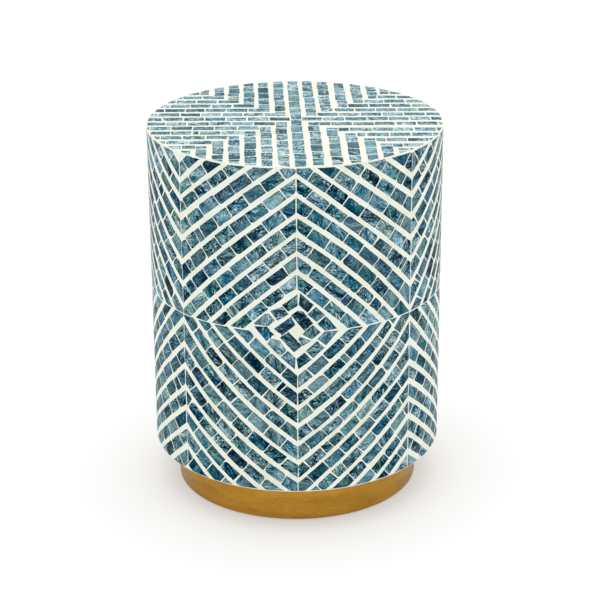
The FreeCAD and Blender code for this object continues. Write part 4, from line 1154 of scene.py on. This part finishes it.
def shell_material(name, tones, gloss, contrast, lots, fine, tinting):
    """Blue-green nacre: clouded, streaked along each chip's own growth lines, with painted shade darkening the cut
    edges.
    """
    g = Graph(name)
    uv = g.node("ShaderNodeUVMap", props={"uv_map": "chip"})
    attr = g.node("ShaderNodeAttribute", props={"attribute_name": "mark"})
    rim = attr.node.outputs["Alpha"]
    mark = g.node("ShaderNodeSeparateColor", Color=attr)
    tone, tint, lot = (mark.node.outputs[i] for i in range(3))
    xyz = g.node("ShaderNodeSeparateXYZ", Vector=uv)
    p = g.node("ShaderNodeCombineXYZ", X=xyz, Y=xyz.node.outputs[1], Z=g.math("MULTIPLY", lot, 61.0))
    bend = g.node("ShaderNodeTexNoise", out=1, Vector=p, Scale=0.9, Detail=1.0)
    q = g.node("ShaderNodeVectorMath", props={"operation": "MULTIPLY_ADD"})
    for socket, value in zip(q.node.inputs, (bend, (0.5, 0.5, 0.0), p)):
        g.put(socket, value)
    cloud = g.noise(g.scaled(q, 0.5, 1.1), 1.0, 1.0, 0.5)
    streak = g.noise(g.scaled(q, 1.5 * fine[0], 4.4 * fine[1]), 1.0, 2.6, 0.55, 0.25)
    grain = g.noise(g.scaled(q, 2.9 * fine[0], 8.5 * fine[1]), 1.0, 1.0, 0.5)
    # fleck: pale spots, partly the nacre's own silvery figure and partly painted glints
    fleck = g.ramp(g.noise(g.scaled(q, 1.7, 2.5), 1.0, 2.0, 0.5), [(0.63, 0.0), (0.74, 1.0)])
    crack = g.ramp(g.noise(g.scaled(q, 2.6, 6.5), 1.0, 1.5, 0.5), [(0.29, 1.0), (0.37, 0.0)])
    shade = g.noise(g.scaled(q, 0.9, 1.4), 1.0, 1.0, 0.5)
    patch = g.ramp(g.noise(g.scaled(q, 1.3, 1.9), 1.0, 1.0, 0.5), [(0.36, 0.42), (0.5, 0.95), (0.64, 1.7)])
    marks = g.math("MULTIPLY", g.spread(streak, 0.10), 0.56)
    marks = g.math("MULTIPLY_ADD", g.spread(grain, 0.10), 0.90, marks)
    figure = g.math("MULTIPLY_ADD", marks, patch, g.math("MULTIPLY", g.spread(cloud, 0.10), 0.70))
    figure = g.math("MULTIPLY_ADD", fleck, 1.9, figure)
    figure = g.math("MULTIPLY_ADD", crack, -1.3, figure)
    strength = g.math("MULTIPLY_ADD", lot, 1.0, 0.52)
    total = g.math("MULTIPLY_ADD", g.spread(tone, 0.2), lots, g.math("MULTIPLY", figure, strength))
    val = g.math("MULTIPLY_ADD", total, 0.13 * contrast, 0.475)
    col = g.ramp(val, list(zip(NACRE_POS, tones)))
    hue = g.ramp(g.math("MULTIPLY_ADD", g.math("SUBTRACT", shade, 0.5), 1.4, tint),
                 [(0.1, (1.12, 1.04, 0.86)), (0.5, (1.0, 1.0, 1.0)), (0.9, (0.72, 0.94, 1.17))])
    col = g.mix(g.ramp(val, [(0.45, tinting), (0.75, 0.45 * tinting)]), col, hue, "MULTIPLY")
    rich = g.math("MULTIPLY_ADD", g.math("FRACT", g.math("MULTIPLY", lot, 7.31)), 0.26, 0.87)
    col = g.node("ShaderNodeHueSaturation", Saturation=rich, Color=col)
    # painted shade: the chip's edge (mark alpha 1) is darkened, streakily, in place of the shade along its cut edges
    painted_edge_shade = g.math("MULTIPLY", rim, g.math("MULTIPLY_ADD", streak, 1.2, 0.25), clamp=True)
    col = g.mix(painted_edge_shade, col, g.mix(1.0, col, (0.60, 0.69, 0.72, 1.0), "MULTIPLY"))
    g.set(Base_Color=col, Roughness=g.math("MULTIPLY_ADD", streak, 0.22, 0.20), IOR=1.5, Specular_IOR_Level=gloss,
          Specular_Tint=(0.06, 0.30, 0.45, 1.0))
    g.bump(g.math("ADD", streak, g.math("MULTIPLY", grain, 0.4)), 0.10, 0.0004)
    return g.mat


def shell_side_material():
    g = Graph("shell_sawn_side")
    g.set(Base_Color=(0.10, 0.17, 0.19, 1.0), Roughness=0.6)
    return g.mat


def resin_material():
    """Cream resin, sanded and lacquered: fine grain, faint yellowing, a few pinholes."""
    g = Graph("resin")
    co = g.node("ShaderNodeTexCoord", out=3)
    cm = g.scaled(co, 100.0, 100.0, 100.0)
    grain = g.noise(cm, 9.0, 4.0, 0.65)
    stain = g.noise(cm, 0.32, 3.0, 0.55)
    hole = g.node("ShaderNodeTexVoronoi", Vector=cm, Scale=2.4)
    pit = g.ramp(hole, [(0.018, 0.0), (0.035, 1.0)])
    col = g.ramp(stain, [(0.30, (0.735, 0.745, 0.625)), (0.52, (0.785, 0.81, 0.71)), (0.75, (0.805, 0.83, 0.74))])
    col = g.mix(1.0, col, g.ramp(grain, [(0.28, 0.93), (0.72, 1.05)]), "MULTIPLY")
    col = g.mix(pit, (0.55, 0.52, 0.42, 1.0), col)
    g.set(Base_Color=col, Roughness=g.math("MULTIPLY_ADD", grain, 0.22, 0.34), IOR=1.5, Specular_IOR_Level=0.3)
    g.bump(g.math("MULTIPLY_ADD", pit, 0.6, g.math("MULTIPLY", grain, 0.25)), 0.15, 0.0005)
    return g.mat


def resin_side_material():
    g = Graph("resin_inside")
    g.set(Base_Color=(0.80, 0.80, 0.70, 1.0), Roughness=0.6)
    return g.mat


def brass_material(name="brass_band", band=True):
    """Aged brass sheet, brushed along its length and lacquered."""
    g = Graph(name)
    if band:
        uv = g.node("ShaderNodeUVMap", props={"uv_map": "brush"})
        brush_at, spot_at = g.scaled(uv, 0.55, 3.2, 1.0), g.scaled(uv, 0.25, 1.2, 1.0)
    else:
        co = g.node("ShaderNodeTexCoord", out=3)
        brush_at = spot_at = g.scaled(co, 400.0, 400.0, 400.0)
    brush = g.noise(brush_at, 2.2, 6.0, 0.7)
    age = g.noise(spot_at, 0.55, 4.0, 0.6, 0.3)
    fleck = g.noise(spot_at, 9.0, 3.0, 0.6)
    col = g.ramp(age, [(0.30, (0.37, 0.185, 0.025)), (0.52, (0.46, 0.232, 0.032)), (0.74, (0.53, 0.28, 0.043))])
    col = g.mix(1.0, col, g.ramp(brush, [(0.30, 0.76), (0.70, 1.20)]), "MULTIPLY")
    col = g.mix(g.ramp(fleck, [(0.70, 0.0), (0.78, 0.6)]), col, (0.80, 0.62, 0.34, 1.0))
    g.set(Base_Color=col, Metallic=1.0, Roughness=g.math("MULTIPLY_ADD", brush, 0.26, 0.22), Specular_Tint=(0.85, 0.95, 1.0, 1.0))
    g.bump(brush, 0.10, 0.0002)
    return g.mat


def fibreboard_material():
    g = Graph("fibreboard")
    co = g.scaled(g.node("ShaderNodeTexCoord", out=3), 100.0, 100.0, 100.0)
    fibre = g.noise(g.scaled(co, 1.0, 1.6, 1.3), 9.0, 6.0, 0.7, 0.6)
    blot = g.noise(co, 0.4, 3.0)
    col = g.ramp(fibre, [(0.3, (0.25, 0.165, 0.095)), (0.55, (0.36, 0.25, 0.15)), (0.75, (0.45, 0.33, 0.21))])
    col = g.mix(1.0, col, g.ramp(blot, [(0.3, 0.88), (0.7, 1.06)]), "MULTIPLY")
    g.set(Base_Color=col, Roughness=0.78)
    g.bump(fibre, 0.2, 0.0004)
    return g.mat


def wood_material(name, dark, mid, pale, along, scale):
    """Sawn wood with its grain along one axis (x, y, z stretch)."""
    g = Graph(name)
    co = g.scaled(g.node("ShaderNodeTexCoord", out=3), 100.0, 100.0, 100.0)
    bent = g.noise(g.scaled(co, *along), scale, 4.0, 0.55, 1.2)
    pore = g.noise(g.scaled(co, *(6 * c for c in along)), scale * 2.2, 5.0, 0.7)
    col = g.ramp(bent, [(0.3, dark), (0.5, mid), (0.68, pale)])
    col = g.mix(1.0, col, g.ramp(pore, [(0.35, 0.82), (0.62, 1.05)]), "MULTIPLY")
    g.set(Base_Color=col, Roughness=g.math("MULTIPLY_ADD", pore, 0.2, 0.5))
    g.bump(pore, 0.2, 0.0004)
    return g.mat


def steel_material():
    g = Graph("zinc_plated_steel")
    co = g.scaled(g.node("ShaderNodeTexCoord", out=3), 100.0, 100.0, 100.0)
    cloud = g.noise(co, 6.0, 4.0, 0.6)
    g.set(Base_Color=g.ramp(cloud, [(0.3, (0.42, 0.41, 0.38)), (0.7, (0.62, 0.61, 0.57))]), Metallic=1.0,
          Roughness=g.math("MULTIPLY_ADD", cloud, 0.3, 0.2))
    return g.mat


def nylon_material():
    g = Graph("nylon")
    co = g.scaled(g.node("ShaderNodeTexCoord", out=3), 100.0, 100.0, 100.0)
    grain = g.noise(co, 18.0, 3.0, 0.6)
    g.set(Base_Color=g.ramp(grain, [(0.3, (0.66, 0.64, 0.58)), (0.7, (0.74, 0.72, 0.66))]), Roughness=0.5)
    g.bump(grain, 0.1, 0.0003)
    return g.mat


# ---------------------------------------------------------------- the visible pieces
WALL_TONES = [rgb(*c) for c in ((0, 11, 26), (3, 37, 55), (23, 66, 83), (45, 88, 103), (70, 111, 123), (94, 133, 141),
                                (113, 149, 155), (138, 171, 177), (192, 214, 216))]
# The top's chips use a paler copy of the shell tones and settings: painted sheen, standing in for the grazing light on
# the seat; the shells are the same as on the wall.
TOP_TONES_PAINTED_SHEEN = [(0.003, 0.038, 0.068), (0.018, 0.078, 0.117), (0.059, 0.148, 0.187), (0.095, 0.205, 0.247), (0.146, 0.279, 0.318),
             (0.218, 0.372, 0.404), (0.288, 0.455, 0.474), (0.402, 0.562, 0.574), (0.59, 0.72, 0.72)]
SHELL = (shell_material("shell_wall", WALL_TONES, 0.015, 0.97, 0.66, (1.25, 1.0), 1.0), shell_side_material())
SHELL_TOP_PAINTED_SHEEN = (shell_material("shell_top_painted_sheen", TOP_TONES_PAINTED_SHEEN, 0.02, 1.12, 0.60, (1.95, 0.37), 0.6), SHELL[1])
RESIN = (resin_material(), resin_side_material())

layout = wall_tiles()
for p_i, (panel, az, half, _) in enumerate(PANELS):
    skin, chips, resin, rings = WallSkin(az, half), Sheet(), Sheet(), []
    seam_rng = random.Random(9000 + p_i)
    bed = Bed([at_seam([(a, developed(z)) for a, z in poly], half, seam_rng) for poly, _ in layout[panel]])
    for t_i, (poly, direction) in enumerate(layout[panel]):
        neat = panel in ("front", "back") and t_i < len(CENTRE_CHIPS)
        rng = random.Random(100000 * (p_i + 1) + t_i)
        loose = not neat and all(1.6 < abs(a) < half - 1.8 and abs(z - MID_Z) > 1.6
                                 and TILE_LOW_Z + 1.5 < z < TILE_TOP_Z - 1.5 for a, z in poly)
        spread = bed.lay(t_i, direction, rng, loose, 0.7 if neat else CHIP_WIDER[panel], CHIP_SHORTER[panel])
        spread = [(max(-half + 0.12, min(half - 0.12, a)), max(WALL_LOW + 0.12, min(WALL_TOP - 0.12, v))) for a, v in spread]
        low = min(v for _, v in spread) < EDGE_Z
        ring = add_chip(chips, skin, spread, direction, rng, 1.3 if low else 2.4, neat)
        if ring:
            rings.append(ring)
    wall_resin(resin, skin, rings)
    chips.make("inlay_chips_" + panel, SHELL, "shell", "shell_tiles_" + panel)
    resin.make("inlay_resin_" + panel, RESIN, "resin", "resin_wall_" + panel)

skin, chips, resin, rings = TopSkin(), Sheet(), Sheet(), []
layout = top_tiles()
bed = Bed([poly for poly, _ in layout])
for t_i, (poly, direction) in enumerate(layout):
    rng = random.Random(700000 + t_i)
    if max(math.hypot(*p) for p in poly) < TOP_TILE_R - 2.0:
        poly = bed.lay(t_i, direction, rng, True, CHIP_WIDER["top"], CHIP_SHORTER["top"])
    ring = add_chip(chips, skin, poly, direction, rng, 2.4, growth=0.0)
    if ring:
        rings.append(ring)
top_resin(resin, skin, rings)
chips.make("inlay_chips_top", SHELL_TOP_PAINTED_SHEEN, "shell", "shell_tiles_top")
resin.make("inlay_resin_top", RESIN, "resin", "resin_top")


def brass_band():
    """The plinth's sheet: rolled edges, slight ripples from the wrapping, a butt seam at the back."""
    n, rows = 288, 6
    gap = 0.5 * BAND_GAP / PLINTH_R
    outer = [(0.30, GLIDE_H), (0.10, GLIDE_H + 0.10), (0.0, GLIDE_H + 0.35)]
    outer += [(0.0, GLIDE_H + 0.35 + (DRUM_Z - GLIDE_H - 0.7) * i / 9) for i in range(1, 9)]
    outer += [(0.0, DRUM_Z - 0.35), (0.10, DRUM_Z - 0.10), (0.30, DRUM_Z)]
    profile = outer + [(BAND_T, DRUM_Z), (BAND_T, GLIDE_H)]
    co, faces, slots, brush, bake = [], [], [], [], []
    k = len(profile)
    for i in range(n + 1):
        th = math.pi + gap + (2 * math.pi - 2 * gap) * i / n
        for depth, z in profile:
            ripple = 0.0
            if depth < 0.2:
                q = Vector((3.2 * math.sin(th), 3.2 * math.cos(th), z / 60.0))
                ripple = 0.035 * (1.0 + noise.noise(q)) + 0.012 * (1.0 + noise.noise(q * 4.0))
            r = PLINTH_R - depth - ripple
            co.append((r * math.sin(th) * MM, -r * math.cos(th) * MM, z * MM))
    for i in range(n):
        row, seg = divmod(i * rows, n)
        for j in range(k):
            j2 = (j + 1) % k
            faces.append((i * k + j, (i + 1) * k + j, (i + 1) * k + j2, i * k + j2))
            front = j < len(outer) - 1
            slots.append(0 if front else 1)
            for ii, jj in ((i, j), (i + 1, j), (i + 1, j2), (i, j2)):
                arc = 2 * math.pi * PLINTH_R * ii / n
                brush.append((0.1 * arc, 0.1 * profile[jj][1]))
                if front:
                    run = jj / (len(outer) - 1)
                    bake.append((0.01 + 0.98 * (ii * rows - row * n) / n, (row + 0.06 + 0.88 * run) / rows))
                else:
                    bake.append((0.001, 0.001))
    faces += [tuple(reversed(range(k))), tuple(n * k + j for j in range(k))]
    slots += [1, 1]
    brush += [(0.0, 0.0)] * (2 * k)
    bake += [(0.001, 0.001)] * (2 * k)
    me = bpy.data.meshes.new("plinth_band_sheet")
    me.from_pydata(co, [], faces)
    me.materials.append(brass_material())
    me.materials.append(brass_material("brass_inside", False))
    me.polygons.foreach_set("material_index", slots)
    me.polygons.foreach_set("use_smooth", [True] * len(faces))
    for layer, data in (("brush", brush), ("OFBake", bake)):
        me.uv_layers.new(name=layer).data.foreach_set("uv", [c for p in data for c in p])
    me.update()
    me.set_sharp_from_angle(angle=math.radians(55))
    ob = bpy.data.objects.new("plinth_band_sheet", me)
    bpy.context.scene.collection.objects.link(ob)
    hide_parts("plinth_band")
    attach(ob, "root")
    return ob


brass_band()

# ---------------------------------------------------------------- the inner pieces keep their own meshes
FIBREBOARD = fibreboard_material()
PLY = wood_material("bending_plywood", (0.42, 0.28, 0.15), (0.52, 0.37, 0.21), (0.60, 0.44, 0.27), (1.2, 1.2, 0.12), 1.6)
PINE = wood_material("pine", (0.48, 0.30, 0.13), (0.60, 0.42, 0.21), (0.66, 0.49, 0.28), (1.6, 1.6, 0.10), 1.3)
BEECH = wood_material("beech", (0.40, 0.24, 0.12), (0.50, 0.33, 0.18), (0.57, 0.39, 0.23), (2.0, 2.0, 0.25), 2.4)
STEEL = steel_material()
FINISH = {
    "seat_board": FIBREBOARD, "bottom_board": FIBREBOARD, "upper_frame_ring": FIBREBOARD, "middle_frame_ring": FIBREBOARD,
    "lower_frame_ring": FIBREBOARD, "plinth_disc_upper": FIBREBOARD, "plinth_disc_lower": FIBREBOARD,
    "wall_skin_front": PLY, "wall_skin_back": PLY, "plinth_dowels": BEECH,
    "band_pins": brass_material("brass_pins", False), "seat_board_screws": STEEL, "bottom_board_screws": STEEL,
    "plinth_screws": STEEL, "glide_nails": STEEL, "floor_glides": nylon_material(),
}
for i in range(1, BATTEN_N + 1):
    FINISH["batten_%d" % i] = PINE
for node, finish in FINISH.items():
    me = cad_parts[node].data
    me.materials.clear()
    me.materials.append(finish)

# ---------------------------------------------------------------- floor, light and camera
me = bpy.data.meshes.new("floor")
ring = [(9.0 * math.cos(2 * math.pi * i / 96), 9.0 * math.sin(2 * math.pi * i / 96), 0.0) for i in range(96)]
me.from_pydata(ring, [], [tuple(range(96))])
floor = bpy.data.objects.new("floor", me)
bpy.context.scene.collection.objects.link(floor)
g = Graph("pale_floor")
cloud = g.noise(g.node("ShaderNodeTexCoord", out=3), 1.3, 2.0)
pale = g.ramp(cloud, [(0.3, (0.60, 0.60, 0.596)), (0.7, (0.62, 0.62, 0.616))])
g.set(Base_Color=pale, Roughness=0.75, Emission_Color=pale, Emission_Strength=0.52)
me.materials.append(g.mat)

world = bpy.data.worlds.new("soft_studio")
bpy.context.scene.world = world
world.use_nodes = True
wt = world.node_tree
wt.nodes.clear()
w_out = wt.nodes.new("ShaderNodeOutputWorld")
w_bg = wt.nodes.new("ShaderNodeBackground")
w_ramp = wt.nodes.new("ShaderNodeValToRGB")
w_sep = wt.nodes.new("ShaderNodeSeparateXYZ")
w_co = wt.nodes.new("ShaderNodeTexCoord")
wt.links.new(w_co.outputs["Generated"], w_sep.inputs[0])
wt.links.new(w_sep.outputs[2], w_ramp.inputs[0])
wt.links.new(w_ramp.outputs[0], w_bg.inputs[0])
wt.links.new(w_bg.outputs[0], w_out.inputs[0])
w_bg.inputs[1].default_value = 1.75
stops = [(0.0, 0.575), (0.16, 0.57), (0.30, 0.57), (0.60, 0.58), (0.82, 0.75), (0.92, 1.0)]
e = w_ramp.color_ramp.elements
while len(e) < len(stops):
    e.new(0.5)
for el, (pos, v) in zip(e, stops):
    el.position, el.color = pos, (v, v, v, 1.0)

PITCH, YAW, ROLL = 0.3830578, 0.0021412, -0.0059948
GROW = DRUM_R / 177.8
cam = bpy.data.cameras.new("camera")
cam.sensor_fit, cam.sensor_width = "HORIZONTAL", 36.0
cam.lens = 1948.788 * 36.0 / 600.0
cam.clip_start, cam.clip_end = 0.05, 60.0
view = bpy.data.objects.new("camera", cam)
bpy.context.scene.collection.objects.link(view)
fwd = Vector((math.sin(YAW) * math.cos(PITCH), math.cos(YAW) * math.cos(PITCH), -math.sin(PITCH)))
right = Vector((math.cos(YAW), -math.sin(YAW), 0.0))
up = right.cross(fwd)
r2 = right * math.cos(ROLL) + up * math.sin(ROLL)
u2 = up * math.cos(ROLL) - right * math.sin(ROLL)
place = Matrix((r2, u2, -fwd)).transposed().to_4x4()
place.translation = Vector((0.0, -2244.668 * GROW, 1130.710 * GROW + GLIDE_H)) * MM
view.matrix_world = place
bpy.context.scene.camera = view

bpy.context.scene.view_settings.view_transform = "Standard"
bpy.context.scene.view_settings.look = "None"
bpy.context.scene.view_settings.exposure = 0.0
bpy.context.scene.view_settings.gamma = 1.0

bpy.context.view_layer.update()
